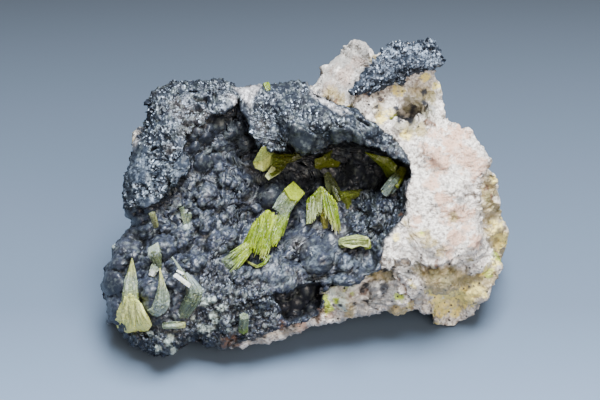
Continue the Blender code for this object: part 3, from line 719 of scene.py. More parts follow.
def crust_relief(points, column, row, behind):
    """Fine relief in metres, pushed out along the normal, and the masks of the finishes.
    Floor: bubbles of three sizes, the largest drawn out along a diagonal. Shelf: heaps of
    tilted grains, pits and clouds. Drusy parts: sharp small grains. Side: wide bubbles."""
    shelf = shelf_share(column, row)
    _, knobbly = lump_rise(column, row)
    cleaved = patch_share(column, row, CLEAVED_PATCHES)
    roof = patch_share(column, row, [ROOF_BULGES], 3.0)
    drusy = smooth_step(inside_by(column, row, DRUSY_AREA), -6, 6)
    right_drusy = smooth_step(spots(column, row, [(385, 215, 42), (398, 175, 20)]), 0, 0.35)
    drusy = np.maximum(drusy, right_drusy * 0.8)
    place_mm = points / MM
    slant_column, slant_row = column + 0.35 * row, row * 0.95
    medium = domes(slant_column, slant_row, 9.5, 3) * PIXEL / MM
    small = domes(column, row, 4.3, 11) * PIXEL / MM
    tiny = bubbles(place_mm / 0.45, 23, 0.35, 0.7)
    coarse_grain, _ = grains(place_mm / 1.15, 31)
    fine_grain, fine_mark = grains(place_mm / 0.5, 37)
    cloud = cloud_noise(place_mm / 3.2, 51)
    wide = cloud_noise(place_mm / 6.0 + 9, 53)
    flats = smooth_step(wide + 0.25 * soft_noise(place_mm / 1.5, 55), -0.1, 0.12)
    dust = smooth_step(spots(column, row, DUSTY_SPOTS) + 0.25 * cloud, 0.0, 0.6)
    cleaved = np.maximum(cleaved, 0.75 * flats * (1 - dust)) * (1 - roof)
    floor = knobbly * (0.55 * medium + 0.65 * small) + 0.04 * tiny + 0.02 * fine_grain
    floor = floor - 0.45 * knobbly
    pits = smooth_step(cloud_noise(place_mm / 1.6 + 5, 57), 0.35, 0.9)
    broken = 0.40 * coarse_grain + 0.26 * fine_grain - 0.7 * pits
    broken = broken * (1 - 0.88 * cleaved) + 0.30 * cloud
    sharp = 0.6 * small + 0.35 * tiny + 0.45 * fine_grain + 0.35 * coarse_grain - 0.35
    relief = floor + (sharp - floor) * drusy
    on_shelf = shelf * (1 - roof)
    relief = relief + (broken - relief) * on_shelf
    wide_bubbles = bubbles(place_mm / 2.4, 27) + 0.15 * coarse_grain - 0.55
    relief = relief + (wide_bubbles - relief) * smooth_step(behind, 0.0, 0.15)
    # Crests of the bubbles: painted light on their tops and painted shade in the creases between
    # them
    crest = np.clip(
        knobbly * (0.5 * medium + 2.0 * small) + (1 - knobbly) * 0.5 - 0.2, 0, 1
    ) * (1 - roof)
    cracks = patch_share(column, row, CRACKS, 1.6)
    relief = relief - 0.9 * cracks
    chalk = spots(column, row, CHALKY_PATCHES)
    relief = relief + 0.5 * tiny * smooth_step(chalk, 0, 0.5)
    sheen_bands = patch_share(column, row, PAINTED_SHEEN_BANDS, 5.0)
    masks = {
        "shelf": on_shelf,
        "crest": crest,
        # Painted shade: darkening along the shelf's edge and in the cracks
        "undercut_shade": np.maximum(np.clip(4 * shelf * (1 - shelf), 0, 1), cracks),
        # Painted shade over the upper part of the shelf, where the light falls strongest
        "top_shade": on_shelf * (1 - smooth_step(row + 4 * cloud - 0.25 * (column - 200), 104, 150)),
        "dust": dust,
        "cleaved": cleaved,
        # Painted sheen: lighter blue in the bands, broken up by clouds and grains
        "bright": sheen_bands * smooth_step(0.5 * cloud + fine_mark, 0.2, 0.7),
        "chalky": smooth_step(chalk + 0.3 * fine_mark - 0.15, 0.0, 0.5),
        "icy": smooth_step(spots(column, row, ICY_PATCHES) + 0.3 * fine_mark - 0.2, 0.0, 0.5),
        "quartz": patch_share(column, row, QUARTZ_PATCHES, 4.0)
        * smooth_step(fine_mark + 0.4 * cloud, 0.1, 0.5),
        "rust": smooth_step(spots(column, row, RUST_SPOTS) + 0.3 * fine_mark - 0.2, 0.0, 0.6),
        # Where the grains tilt the normal, and where bright flecks are painted as glints
        "glint": np.clip(on_shelf * (1 - 0.8 * cleaved) + 0.55 * drusy, 0.18 * knobbly, 1),
        "beads": np.clip(0.9 * knobbly + drusy - 0.1, 0.03, 1) * (1 - on_shelf),
        # Painted shade: near black on the bulges under the pocket's rim, and half of it over the
        # shaded parts of the bowl
        "roof": np.maximum(roof, 0.5 * smooth_step(spots(column, row, SHADED_BOWL), 0, 0.5)
                           * (1 - shelf)),
    }
    return relief * MM, masks


# Node helpers


def new_material(name, roughness=0.5, metallic=0.0):
    made = bpy.data.materials.new(name)
    made.use_nodes = True
    shader = made.node_tree.nodes["Principled BSDF"]
    shader.inputs["Roughness"].default_value = roughness
    shader.inputs["Metallic"].default_value = metallic
    return made, made.node_tree, shader


def add_node(tree, kind, inputs=None, **settings):
    node = tree.nodes.new(kind)
    for key, value in settings.items():
        setattr(node, key, value)
    for key, value in (inputs or {}).items():
        if isinstance(value, bpy.types.NodeSocket):
            tree.links.new(value, node.inputs[key])
        else:
            node.inputs[key].default_value = value
    return node


def mask_of(tree, name):
    return add_node(tree, "ShaderNodeAttribute", attribute_name=name).outputs["Fac"]


def mixed(tree, share, first, second):
    """Colour that goes from first to second with the share."""
    node = add_node(tree, "ShaderNodeMix", data_type="RGBA")
    for key, value in ((0, share), (6, first), (7, second)):
        if isinstance(value, bpy.types.NodeSocket):
            tree.links.new(value, node.inputs[key])
        elif key == 0:
            node.inputs[key].default_value = value
        else:
            node.inputs[key].default_value = (*value, 1.0)
    return node.outputs[2]


def ranged(tree, value, low, high, to_low=0.0, to_high=1.0):
    """A value moved from one range to another, held at the ends."""
    node = add_node(tree, "ShaderNodeMapRange", {"Value": value})
    keys = ("From Min", "From Max", "To Min", "To Max")
    for key, number in zip(keys, (low, high, to_low, to_high)):
        node.inputs[key].default_value = number
    return node.outputs["Result"]


def math_of(tree, operation, *values, use_clamp=False):
    """One step of arithmetic on sockets or numbers."""
    inputs = dict(enumerate(values))
    node = add_node(tree, "ShaderNodeMath", inputs, operation=operation, use_clamp=use_clamp)
    return node.outputs[0]


def vector_math(tree, operation, inputs):
    return add_node(tree, "ShaderNodeVectorMath", inputs, operation=operation).outputs[0]


def product(tree, first, second):
    return math_of(tree, "MULTIPLY", first, second)


def tinted(tree, colour, mask, share, tint):
    """The colour with a tint over it: as much as the named mask says, times the share."""
    return mixed(tree, product(tree, mask_of(tree, mask), share), colour, tint)


def object_place(tree):
    return add_node(tree, "ShaderNodeTexCoord").outputs["Object"]


def cells_of(tree, pitch, **settings):
    """Cells scattered in the object's own space, each with a colour of its own."""
    inputs = {"Vector": object_place(tree), "Scale": pitch}
    return add_node(tree, "ShaderNodeTexVoronoi", inputs, **settings)


def glinting_normal(tree, strength, distance, height, glints):
    """The normal of a bump that is laid over the tilted grains."""
    bump = add_node(
        tree, "ShaderNodeBump",
        {"Strength": strength, "Distance": distance, "Height": height,
         "Normal": glints.outputs["Normal"]},
    )
    return bump.outputs["Normal"]


def new_group(name, inputs, outputs):
    group = bpy.data.node_groups.new(name, "ShaderNodeTree")
    for label, kind, default in inputs:
        socket = group.interface.new_socket(label, in_out="INPUT", socket_type=kind)
        socket.default_value = default
    for label, kind in outputs:
        group.interface.new_socket(label, in_out="OUTPUT", socket_type=kind)
    start = group.nodes.new("NodeGroupInput")
    end = group.nodes.new("NodeGroupOutput")
    return group, start.outputs, end.inputs


def crystal_glints_group():
    """Tilts the normal by a random amount in each small grain, and gives each grain's own
    random number as a mask."""
    group, given, result = new_group(
        "Crystal glints",
        [("Pitch", "NodeSocketFloat", 2500.0), ("Tilt", "NodeSocketFloat", 0.6)],
        [("Normal", "NodeSocketVector"), ("Grain", "NodeSocketFloat")],
    )
    cells = cells_of(group, given["Pitch"])
    middle = (0.5, 0.5, 0.5)
    centred = vector_math(group, "SUBTRACT", {0: cells.outputs["Color"], 1: middle})
    tilted = vector_math(group, "SCALE", {0: centred, "Scale": given["Tilt"]})
    surface = add_node(group, "ShaderNodeNewGeometry")
    total = vector_math(group, "ADD", {0: surface.outputs["Normal"], 1: tilted})
    group.links.new(vector_math(group, "NORMALIZE", {0: total}), result["Normal"])
    split = add_node(group, "ShaderNodeSeparateColor", {"Color": cells.outputs["Color"]})
    group.links.new(split.outputs[0], result["Grain"])
    return group


def mottle_group():
    """Cloudy mask of two pitches, between 0 and 1, for uneven colour."""
    group, given, result = new_group(
        "Mottle",
        [("Pitch", "NodeSocketFloat", 400.0), ("Contrast", "NodeSocketFloat", 1.0)],
        [("Mask", "NodeSocketFloat")],
    )
    noise = add_node(
        group, "ShaderNodeTexNoise",
        {"Vector": object_place(group), "Scale": given["Pitch"], "Detail": 5.0,
         "Roughness": 0.65},
    )
    centred = math_of(group, "SUBTRACT", noise.outputs["Fac"], 0.5)
    spread = math_of(group, "MULTIPLY_ADD", centred, given["Contrast"], 0.5, use_clamp=True)
    group.links.new(spread, result["Mask"])
    return group


def beads_group():
    """Small round beads packed side by side: their height, 1 at a top, and a mask that is 0
    in the creases between them."""
    group, given, result = new_group(
        "Beads", [("Pitch", "NodeSocketFloat", 2200.0)],
        [("Height", "NodeSocketFloat"), ("Clear", "NodeSocketFloat")],
    )
    cells = cells_of(group, given["Pitch"])
    edges = cells_of(group, given["Pitch"], feature="DISTANCE_TO_EDGE")
    height = ranged(group, cells.outputs["Distance"], 0.0, 0.75, 1.0, 0.0)
    group.links.new(height, result["Height"])
    # The clear mask only colours the crust: painted shade in the creases between the beads
    group.links.new(ranged(group, edges.outputs["Distance"], 0.01, 0.15), result["Clear"])
    return group


def placed_group(tree, name, **values):
    node = add_node(tree, "ShaderNodeGroup", node_tree=bpy.data.node_groups[name])
    for key, value in values.items():
        node.inputs[key].default_value = value
    return node


def crust_material(settings):
    made, tree, shader = new_material("Manganese oxide crust", 0.45)
    mottle = placed_group(tree, "Mottle", Pitch=1400.0, Contrast=2.4)
    broad = placed_group(tree, "Mottle", Pitch=300.0, Contrast=2.4)
    glints = placed_group(tree, "Crystal glints", Pitch=3400.0, Tilt=0.8)
    beads = placed_group(tree, "Beads", Pitch=1500.0)
    dark, dusty = tuple(settings.dark_colour), tuple(settings.dusty_colour)
    steel = tuple(settings.steel_colour)
    # Painted shade in the creases of the bubbles and beads, and painted light on their tops, by the
    # crest and bead masks
    sheen = mixed(tree, broad.outputs[0], dusty, tuple(1.25 * c for c in dusty))
    bead_top = ranged(tree, beads.outputs[0], 0.3, 0.85, 0.35, 1)
    bead_top = product(tree, bead_top, beads.outputs[1])
    beaded = add_node(tree, "ShaderNodeMix", {0: mask_of(tree, "beads"), 2: 0.8, 3: bead_top})
    top = product(tree, mask_of(tree, "crest"), beaded.outputs[0])
    body = mixed(tree, top, dark, sheen)
    rough_steel = mixed(tree, mottle.outputs[0], dark, tuple(0.9 * c for c in steel))
    flat_steel = mixed(tree, broad.outputs[0], tuple(0.62 * c for c in steel), steel)
    shelf = mixed(tree, mask_of(tree, "cleaved"), rough_steel, flat_steel)
    uneven = ranged(tree, mottle.outputs[0], 0.35, 0.75)
    # Painted sheen on the shelf where the bright mask lies
    shelf = tinted(tree, shelf, "bright", uneven, (0.15, 0.19, 0.25))
    colour = mixed(tree, mask_of(tree, "shelf"), body, shelf)
    # Painted shade: near black under the pocket's rim and in the shaded parts of the bowl
    colour = mixed(tree, mask_of(tree, "roof"), colour, (0.015, 0.018, 0.024))
    # Painted shade over the upper part of the shelf
    colour = tinted(tree, colour, "top_shade", 0.75, (0.011, 0.014, 0.021))
    colour = tinted(tree, colour, "dust", 0.6, (0.046, 0.042, 0.042))
    # Painted glints: bright flecks on a few grains where the glint mask lies
    glint_flecks = ranged(tree, glints.outputs["Grain"], 0.90, 0.94)
    colour = tinted(tree, colour, "glint", glint_flecks, (0.26, 0.31, 0.385))
    # Painted shade along the shelf's edge and in the cracks
    colour = tinted(tree, colour, "undercut_shade", 0.92, (0.006, 0.006, 0.008))
    uneven = ranged(tree, mottle.outputs[0], 0.35, 0.7, 0.1, 1)
    colour = tinted(tree, colour, "icy", uneven, (0.115, 0.14, 0.17))
    uneven = ranged(tree, mottle.outputs[0], 0.25, 0.6, 0.2, 1)
    colour = tinted(tree, colour, "chalky", uneven, (0.37, 0.44, 0.41))
    quartz = mixed(tree, mottle.outputs[0], (0.06, 0.06, 0.065), (0.62, 0.60, 0.61))
    colour = mixed(tree, mask_of(tree, "quartz"), colour, quartz)
    uneven = ranged(tree, mottle.outputs[0], 0.3, 0.6)
    colour = tinted(tree, colour, "rust", uneven, (0.085, 0.043, 0.026))
    tree.links.new(colour, shader.inputs["Base Color"])
    metal = product(tree, mask_of(tree, "shelf"), 0.25)
    tree.links.new(metal, shader.inputs["Metallic"])
    shader.inputs["IOR"].default_value = 1.5
    shader.inputs["Specular IOR Level"].default_value = 0.32
    rough = ranged(tree, mottle.outputs[0], 0.2, 0.8, 0.24, 0.44)
    tree.links.new(rough, shader.inputs["Roughness"])
    bead_height = product(tree, beads.outputs[0], mask_of(tree, "beads"))
    plain = add_node(
        tree, "ShaderNodeBump", {"Strength": 0.6, "Distance": 0.00022, "Height": bead_height},
    )
    sparkly = glinting_normal(tree, 0.4, 0.0001, mottle.outputs[0], glints)
    share = add_node(tree, "ShaderNodeMix", {0: mask_of(tree, "glint")}, data_type="VECTOR")
    tree.links.new(plain.outputs["Normal"], share.inputs[4])
    tree.links.new(sparkly, share.inputs[5])
    tree.links.new(share.outputs[1], shader.inputs["Normal"])
    return made


# The quartz rock

WHITE_BLOCK = [
    (376, 271), (384, 268), (391, 270), (395, 265), (399, 262), (402, 259), (407, 258),
    (410, 263), (414, 266), (420, 264), (428, 264), (433, 266), (441, 264), (445, 261),
    (449, 262), (455, 265), (461, 265), (465, 268), (470, 271), (477, 270), (482, 267),
    (487, 266), (490, 262), (491, 257), (493, 252), (490, 246), (487, 240), (485, 232),
    (483, 224), (481, 216), (479, 208), (478, 199), (477, 190), (482, 181), (486, 173),
    (488, 158), (478, 143), (466, 126), (440, 114), (425, 122), (405, 130), (385, 128),
    (360, 100), (330, 150), (330, 270),
]
LOWER_QUARTZ = [
    (366, 284), (374, 280), (384, 278), (396, 280), (404, 286), (408, 296), (413, 306),
    (402, 304), (392, 304), (388, 308), (378, 306), (368, 304), (372, 294),
]
LOWER_BAND = [
    (391, 268), (400, 262), (425, 266), (450, 282), (470, 292), (462, 298), (440, 292),
    (424, 284), (418, 296), (430, 318), (420, 312), (404, 284),
]
CAVITY = [(389, 121), (394, 112), (410, 109), (426, 110), (424, 117), (408, 122)]
# The ridge across the white block: where it starts and the way that it runs
RIDGE_START = (427, 151)
RIDGE_WAY = (0.802, 0.597)
RIDGE_RISE = 0.7 * MM
BLOCK_STEP = 2.0 * MM
BAND_RISE = 0.9 * MM
LOWER_QUARTZ_RISE = 0.8 * MM
CAVITY_DEPTH = 2.6 * MM
CRUST_OVERLAP = 0.5 * MM
PINK_SPOTS = [
    (454, 142, 20), (436, 133, 13), (462, 158, 18), (451, 216, 15), (457, 237, 13),
    (443, 200, 15), (432, 184, 12), (465, 215, 12), (345, 75, 16), (440, 160, 18),
    (475, 240, 12), (416, 222, 9), (300, 324, 9), (330, 315, 8), (476, 170, 14),
    (446, 250, 10), (426, 150, 12), (330, 90, 12), (358, 62, 10), (468, 228, 10),
]
TAN_AREAS = [
    [(478, 190), (486, 174), (489, 160), (496, 170), (502, 184), (500, 200), (503, 216),
     (510, 232), (509, 250), (500, 268), (491, 262), (493, 252), (486, 238), (482, 215)],
    [(412, 268), (428, 266), (441, 266), (450, 265), (462, 268), (470, 273), (486, 268),
     (496, 268), (494, 284), (486, 296), (470, 304), (462, 312), (440, 296), (424, 282)],
    [(382, 311), (390, 307), (404, 306), (414, 309), (402, 314), (384, 313)],
    [(372, 104), (382, 100), (386, 110), (384, 122), (374, 118)],
    [(408, 86), (426, 84), (438, 92), (436, 104), (424, 100), (410, 96)],
    [(362, 270), (376, 268), (388, 272), (384, 280), (370, 280)],
]
TAN_SPOTS = [
    (427, 240, 9), (441, 250, 8), (414, 236, 8), (434, 243, 7), (406, 222, 6), (452, 218, 7),
    (398, 309, 10), (376, 57, 9), (420, 128, 9), (338, 100, 10), (322, 306, 9), (345, 302, 9),
    (470, 260, 6), (408, 132, 9), (136, 142, 9), (330, 94, 9),
    (350, 311, 8), (425, 233, 7),
]
YELLOW_SPOTS = [
    (442, 304, 16), (437, 314, 9), (450, 299, 13), (466, 297, 13), (478, 290, 10),
    (398, 91, 9), (350, 110, 7), (410, 304, 6), (492, 264, 7), (421, 234, 5),
    (396, 236, 5), (484, 272, 8), (424, 77, 7), (380, 118, 8), (500, 242, 12),
    (496, 225, 8), (432, 292, 7), (456, 311, 8), (390, 112, 6), (404, 136, 7),
    (424, 288, 6), (412, 283, 4), (495, 180, 6), (436, 85, 5),
]
OLIVE_SPOTS = [
    (432, 97, 8), (394, 116, 7), (418, 103, 11), (408, 112, 9), (400, 118, 8), (492, 219, 8),
    (490, 200, 8), (326, 305, 6), (436, 272, 10), (448, 280, 11), (466, 284, 12),
    (423, 112, 9), (410, 101, 7), (478, 278, 10), (455, 270, 9), (420, 270, 8),
    (372, 274, 8), (388, 278, 7), (495, 208, 7), (412, 124, 9), (400, 128, 7),
]
RUSTY_SPOTS = [
    (335, 102, 5), (429, 124, 6), (401, 213, 4), (364, 292, 6), (405, 290, 4), (410, 300, 4),
    (367, 98, 4), (226, 345, 7), (236, 342, 6), (281, 325, 6), (380, 100, 4), (350, 296, 4),
    (318, 318, 5), (497, 242, 4), (437, 262, 4), (320, 312, 4), (434, 124, 4), (404, 285, 4),
    (411, 306, 4), (495, 198, 5), (340, 300, 4), (398, 280, 3), (487, 188, 4),
]
SOOTY_SPOTS = [
    (385, 287, 5), (362, 290, 4), (366, 300, 5), (398, 122, 4), (410, 119, 5), (404, 178, 4),
    (402, 205, 5), (399, 215, 4), (394, 228, 4), (385, 272, 3), (380, 99, 3), (398, 271, 2),
    (424, 92, 4), (420, 113, 5), (404, 120, 5), (341, 305, 3), (365, 286, 4), (376, 107, 3),
    (359, 116, 5), (373, 125, 5), (387, 136, 4), (398, 147, 4), (355, 304, 3), (383, 292, 4),
    (245, 91, 3), (259, 88, 3), (251, 100, 3), (236, 86, 3), (318, 90, 3), (331, 98, 3),
    (402, 117, 6), (413, 113, 6), (425, 103, 5), (378, 93, 3), (367, 88, 3), (395, 108, 3),
    (247, 97, 3), (254, 93, 3), (241, 103, 3),
]
LIME_SPOTS = [
    (399, 297, 6), (324, 290, 5), (327, 303, 6), (347, 286, 5), (336, 300, 4), (330, 309, 4),
    (493, 254, 5), (486, 272, 5), (402, 154, 3), (345, 290, 4), (325, 297, 4), (333, 285, 4),
    (328, 312, 4), (394, 118, 5), (497, 259, 5), (421, 233, 3), (352, 293, 3), (488, 276, 4),
]
PALE_SPOTS = [
    (335, 292, 11), (343, 298, 10), (350, 288, 8), (338, 283, 6), (356, 280, 6),
    (328, 298, 7), (342, 308, 6),
]
SPECKLED_SPOTS = [
    (372, 105, 26), (392, 90, 18), (405, 118, 28), (400, 150, 20), (406, 190, 16),
    (345, 88, 18), (398, 222, 14),
]
GREY_SPOTS = [
    (350, 60, 34), (334, 84, 26), (358, 84, 22), (390, 292, 18), (374, 300, 14), (340, 312, 14),
    (360, 306, 12), (418, 300, 12), (466, 276, 12), (404, 272, 12), (290, 330, 14),
    (260, 342, 12), (430, 256, 8), (478, 300, 12), (252, 92, 14),
]
# Spots of painted shade in the cavity under the knob and on the lower rock under the white block's
# edge, and a few darker marks on the block itself
SHADE_SPOTS = [
    (430, 246, 5), (413, 245, 5), (424, 233, 4), (395, 240, 4), (447, 186, 4), (460, 200, 4),
    (418, 105, 13), (408, 115, 12), (430, 108, 8), (375, 285, 9), (393, 296, 12),
    (378, 300, 9), (410, 274, 9), (384, 276, 7), (352, 305, 7),
]


def matrix_face(column, row):
    """The quartz's face: as marked beside the crust, sunk behind it to reach only a little way
    into the crust's back, with the white block standing proud of the shadowed lower rock, a
    ridge across the block and a cavity under the knob."""
    depth = blended(column, row, MATRIX_FRONT_DEPTHS)
    flat = flat_place(column, row, 9)
    shift = 1.3 * soft_noise(flat, 61) + 0.8 * soft_noise(flat * 2.7, 62)
    block = inside_by(column, row, WHITE_BLOCK) + 0.6 * shift
    below = smooth_step(row, 235, 262) * smooth_step(column, 372, 392)
    beside = smooth_step(column, 470, 482) * smooth_step(row, 165, 190)
    step = np.maximum(below, beside)
    depth = depth - BLOCK_STEP * step * (1 - smooth_step(block, -0.6, 0.8))
    band = smooth_step(inside_by(column, row, LOWER_BAND) + shift, -0.5, 1.5)
    depth = depth + BAND_RISE * band
    lower = smooth_step(inside_by(column, row, LOWER_QUARTZ) + shift, -0.5, 1.2)
    depth = depth + LOWER_QUARTZ_RISE * lower
    right_of, below_it = column - RIDGE_START[0], row - RIDGE_START[1]
    across = right_of * RIDGE_WAY[1] - below_it * RIDGE_WAY[0]
    along = right_of * RIDGE_WAY[0] + below_it * RIDGE_WAY[1]
    on_ridge = smooth_step(along, -6, 6) * (1 - smooth_step(along, 52, 64))
    ridge = hump(across + 1.5 * shift, 0, 5.0) * on_ridge
    depth = depth + RIDGE_RISE * ridge
    cavity = smooth_step(inside_by(column, row, CAVITY) + 0.6 * shift, -1.0, 2.5)
    depth = depth - CAVITY_DEPTH * cavity
    within = inside_by(column, row, CRUST_OUTLINE)
    covered = smooth_step(within + 0.7 * shift, 1.5, 7)
    sunk = crust_back(column, row) + CRUST_OVERLAP
    depth = depth + (sunk - depth) * covered
    share, _ = edge_share(column, row, MATRIX_CENTRE, MATRIX_OUTLINE)
    depth = depth - rounding(share, 14) * 2.0 * MM * (1 - 0.8 * smooth_step(within, -3, 1))
    return np.maximum(depth, floor_depth(row, FLOOR_MARGIN))


def matrix_behind(column, row):
    """The broken back: a steep face behind, and the floor patch where that lies higher."""
    up = (PHOTO_CENTRE[1] - row) * PIXEL
    upright = (up * math.sin(SIGHT_ELEVATION) - 20.0 * MM) / math.cos(SIGHT_ELEVATION)
    side = np.abs(column - 310) / 200
    upright = upright + 6.0 * MM * side**2.5
    return np.maximum(upright, floor_depth(row))


def rough_sides(points):
    """The long waves of the solid's own side and back, pushed out from its middle."""
    away = points - points.mean(axis=0)
    length = np.linalg.norm(away, axis=1)
    facing = away @ TOWARDS / length
    x, y, z = (points / MM).T
    wave = (
        np.sin(0.31 * x + 0.23 * z + 1.0) * np.cos(0.29 * z - 0.17 * x)
        + 0.8 * np.sin(0.55 * y - 0.47 * x + 0.4 * z)
        + 0.6 * np.sin(0.9 * z + 0.6 * x + 2.0)
    )
    amount = 0.8 * MM * wave * smooth_step(-facing, 0.1, 0.5) * smooth_step(z, 1.0, 5.0)
    return points + amount[:, None] * away / length[:, None]


def terraces(height, step):
    """Cuts a height into levels, with a slope over the last quarter of each, as in a stepped
    fracture."""
    level = np.floor(height / step)
    part = height / step - level
    return step * (level + smooth_step(part, 0.75, 1.0))


def matrix_relief(points, column, row, behind):
    """Relief of broken granular rock: stepped fractures, tilted facets of three pitches and
    a sugary grain, calmer on the white block, and without the finest parts down the side."""
    place_mm = points / MM
    large, _ = grains(place_mm / 4.6, 71)
    middle, _ = grains(leaning(place_mm, 1.4) / 1.9, 73)
    fine, _ = grains(place_mm / 0.62, 79)
    sugar = bubbles(place_mm / 0.45, 81)
    cloud = cloud_noise(place_mm / 5.5, 83)
    steps = terraces(cloud + 0.25 * soft_noise(place_mm / 1.6, 85), 0.42)
    on_block = smooth_step(inside_by(column, row, WHITE_BLOCK), 0, 6) * (behind < 0.1)
    calm = 1 - 0.4 * on_block
    side = smooth_step(behind, 0.0, 0.1) * (behind < 1)
    relief = calm * (0.55 * large + (0.34 - 0.2 * side) * middle + 0.70 * steps)
    relief = relief + (1 - 0.85 * side) * (0.17 * fine + 0.12 * sugar)
    relief = relief * smooth_step(points[:, 2] / MM, 0.05, 2.5)
    return relief * MM


def rock_masks(points, column, row, behind):
    """Where each stain lies, and the painted shade. On the face it follows the picture, and on the
    side and back clouds of the same stains go on."""
    facing = behind < 0.35
    place_mm = points / MM
    flat = flat_place(column, row, 6)
    broken = 0.30 * soft_noise(flat, 91) + 0.28 * soft_noise(flat * 2.5, 92)
    broken = broken + 0.2 * soft_noise(flat * 6, 93)
    cloud = cloud_noise(place_mm / 7.0, 95)
    other = cloud_noise(place_mm / 5.0 + 40, 97)

    def stain(marks, hidden):
        spot = spots(column, row, marks)
        here = smooth_step(spot + broken * (spot > 0), 0.0, 0.6)
        return np.where(facing, here, hidden)

    tan_area = smooth_step(inside_any(column, row, TAN_AREAS) + 6 * broken, -2.5, 4.5)
    tan = np.maximum(stain(TAN_SPOTS, 0.0), tan_area)
    dotted = 0.25 + 0.75 * smooth_step(row, 215, 275)
    # Grey clouds on the face, more of them towards the bottom
    greyer_low = 0.55 * smooth_step(row, 205, 240) * smooth_step(other + broken, 0.1, 0.8)
    inside = inside_by(column, row, CRUST_OUTLINE)
    speckle = soft_noise(place_mm / 0.5, 99)
    near = smooth_step(inside + 2.2 * speckle, -0.8, 0.6)
    beside = smooth_step(inside, -12, -2) * smooth_step(speckle, 0.5, 0.6)
    soot = np.maximum(near, beside)
    return {
        "pink": stain(PINK_SPOTS, smooth_step(cloud, 0.2, 0.8) * 0.6),
        "tan": np.where(facing, tan, smooth_step(-cloud, 0.0, 0.7) * 0.8),
        "yellow": stain(YELLOW_SPOTS, smooth_step(other, 0.5, 1.0) * 0.7),
        "olive": stain(OLIVE_SPOTS, smooth_step(-other, 0.6, 1.1) * 0.6),
        "rusty": stain(RUSTY_SPOTS, smooth_step(other - cloud, 0.9, 1.4) * 0.5),
        "lime": stain(LIME_SPOTS, 0.0),
        "pale": stain(PALE_SPOTS, 0.0),
        "grey": np.maximum(stain(GREY_SPOTS, smooth_step(cloud + other, 0.2, 1.0) * 0.6), greyer_low),
        # Painted shade from the spots on the face; on the side and back, random darker clouds
        "shade": stain(SHADE_SPOTS, smooth_step(cloud - other, 0.5, 1.2) * 0.6),
        "soot": np.where(facing, np.maximum(soot, stain(SOOTY_SPOTS, 0.0)), 0.0),
        "specks": np.where(facing, np.maximum(dotted, stain(SPECKLED_SPOTS, 0.0)), 0.4),
    }


def specks_group():
    """Small round dots, one in some of the cells of the given pitch."""
    group, given, result = new_group(
        "Specks",
        [("Pitch", "NodeSocketFloat", 900.0), ("Size", "NodeSocketFloat", 0.25),
         ("Share", "NodeSocketFloat", 0.5)],
        [("Mask", "NodeSocketFloat")],
    )
    cells = cells_of(group, given["Pitch"])
    near = math_of(group, "LESS_THAN", cells.outputs["Distance"], given["Size"])
    split = add_node(group, "ShaderNodeSeparateColor", {"Color": cells.outputs["Color"]})
    chosen = math_of(group, "LESS_THAN", split.outputs[0], given["Share"])
    group.links.new(product(group, near, chosen), result["Mask"])
    return group


# Stains over the tan, the lowest first: mask, tint and strength
UPPER_STAINS = [
    ("olive", (0.17, 0.15, 0.055), 0.75), ("yellow", (1.0, 0.82, 0.27), 1.0),
    ("rusty", (0.14, 0.07, 0.04), 0.9), ("pale", (0.60, 0.68, 0.60), 0.9),
    ("lime", (0.40, 0.50, 0.05), 1.0),
]


def quartz_material(settings):
    made, tree, shader = new_material("Granular quartz", 0.5)
    fine = placed_group(tree, "Mottle", Pitch=1700.0, Contrast=3.0)
    broad = placed_group(tree, "Mottle", Pitch=330.0, Contrast=2.6)
    glints = placed_group(tree, "Crystal glints", Pitch=2300.0, Tilt=0.7)
    specks = placed_group(tree, "Specks", Pitch=1020.0, Size=0.2, Share=0.55)
    white, shade = tuple(settings.white_colour), tuple(settings.shade_colour)
    grain = ranged(tree, glints.outputs["Grain"], 0.0, 0.25, 0.35, 1.0)
    clean = ranged(tree, fine.outputs[0], 0.14, 0.62)
    colour = mixed(tree, product(tree, clean, grain), shade, white)
    speckled = ranged(tree, fine.outputs[0], 0.0, 1.0, 0.3, 1.8)

    def stained(colour, name, tint, strength):
        uneven = ranged(tree, broad.outputs[0], 0.1, 0.7, 0.45, 1)
        mask = product(tree, product(tree, mask_of(tree, name), uneven), speckled)
        mask = ranged(tree, mask, 0.12, 0.85)
        return mixed(tree, product(tree, mask, strength), colour, tint)

    pink, tan = tuple(settings.pink_colour), tuple(settings.tan_colour)
    colour = stained(colour, "pink", pink, 0.85)
    colour = stained(colour, "grey", (0.18, 0.175, 0.165), 0.8)
    # Painted shade in the cavity and under the white block's edge, and darker marks on the block
    colour = stained(colour, "shade", (0.20, 0.20, 0.19), 0.75)
    deep_tan = mixed(tree, fine.outputs[0], tuple(0.55 * c for c in tan), tan)
    clouded = ranged(tree, broad.outputs[0], 0.1, 0.6, 0.65, 1)
    colour = tinted(tree, colour, "tan", clouded, deep_tan)
    for name, tint, strength in UPPER_STAINS:
        colour = stained(colour, name, tint, strength)
    colour = mixed(tree, mask_of(tree, "soot"), colour, (0.025, 0.026, 0.032))
    colour = tinted(tree, colour, "specks", specks.outputs[0], (0.035, 0.03, 0.028))
    tree.links.new(colour, shader.inputs["Base Color"])
    rough = ranged(tree, glints.outputs["Grain"], 0.0, 1.0, 0.25, 0.6)
    tree.links.new(rough, shader.inputs["Roughness"])
    shader.inputs["Subsurface Weight"].default_value = 0.10
    shader.inputs["Subsurface Radius"].default_value = (1.0, 0.8, 0.7)
    shader.inputs["Subsurface Scale"].default_value = 0.0005
    normal = glinting_normal(tree, 0.8, 0.0003, fine.outputs[0], glints)
    tree.links.new(normal, shader.inputs["Normal"])
    return made


# The plate on the knob


PLATE_CELLS = 70
# Lighter patches on the plate: painted sheen
PLATE_SHEEN_PATCHES = [
    (390, 54, 8), (399, 52, 7), (409, 50, 6), (434, 60, 8), (428, 64, 6), (380, 66, 5),
    (418, 48, 5), (431, 42, 4), (424, 54, 5),
]


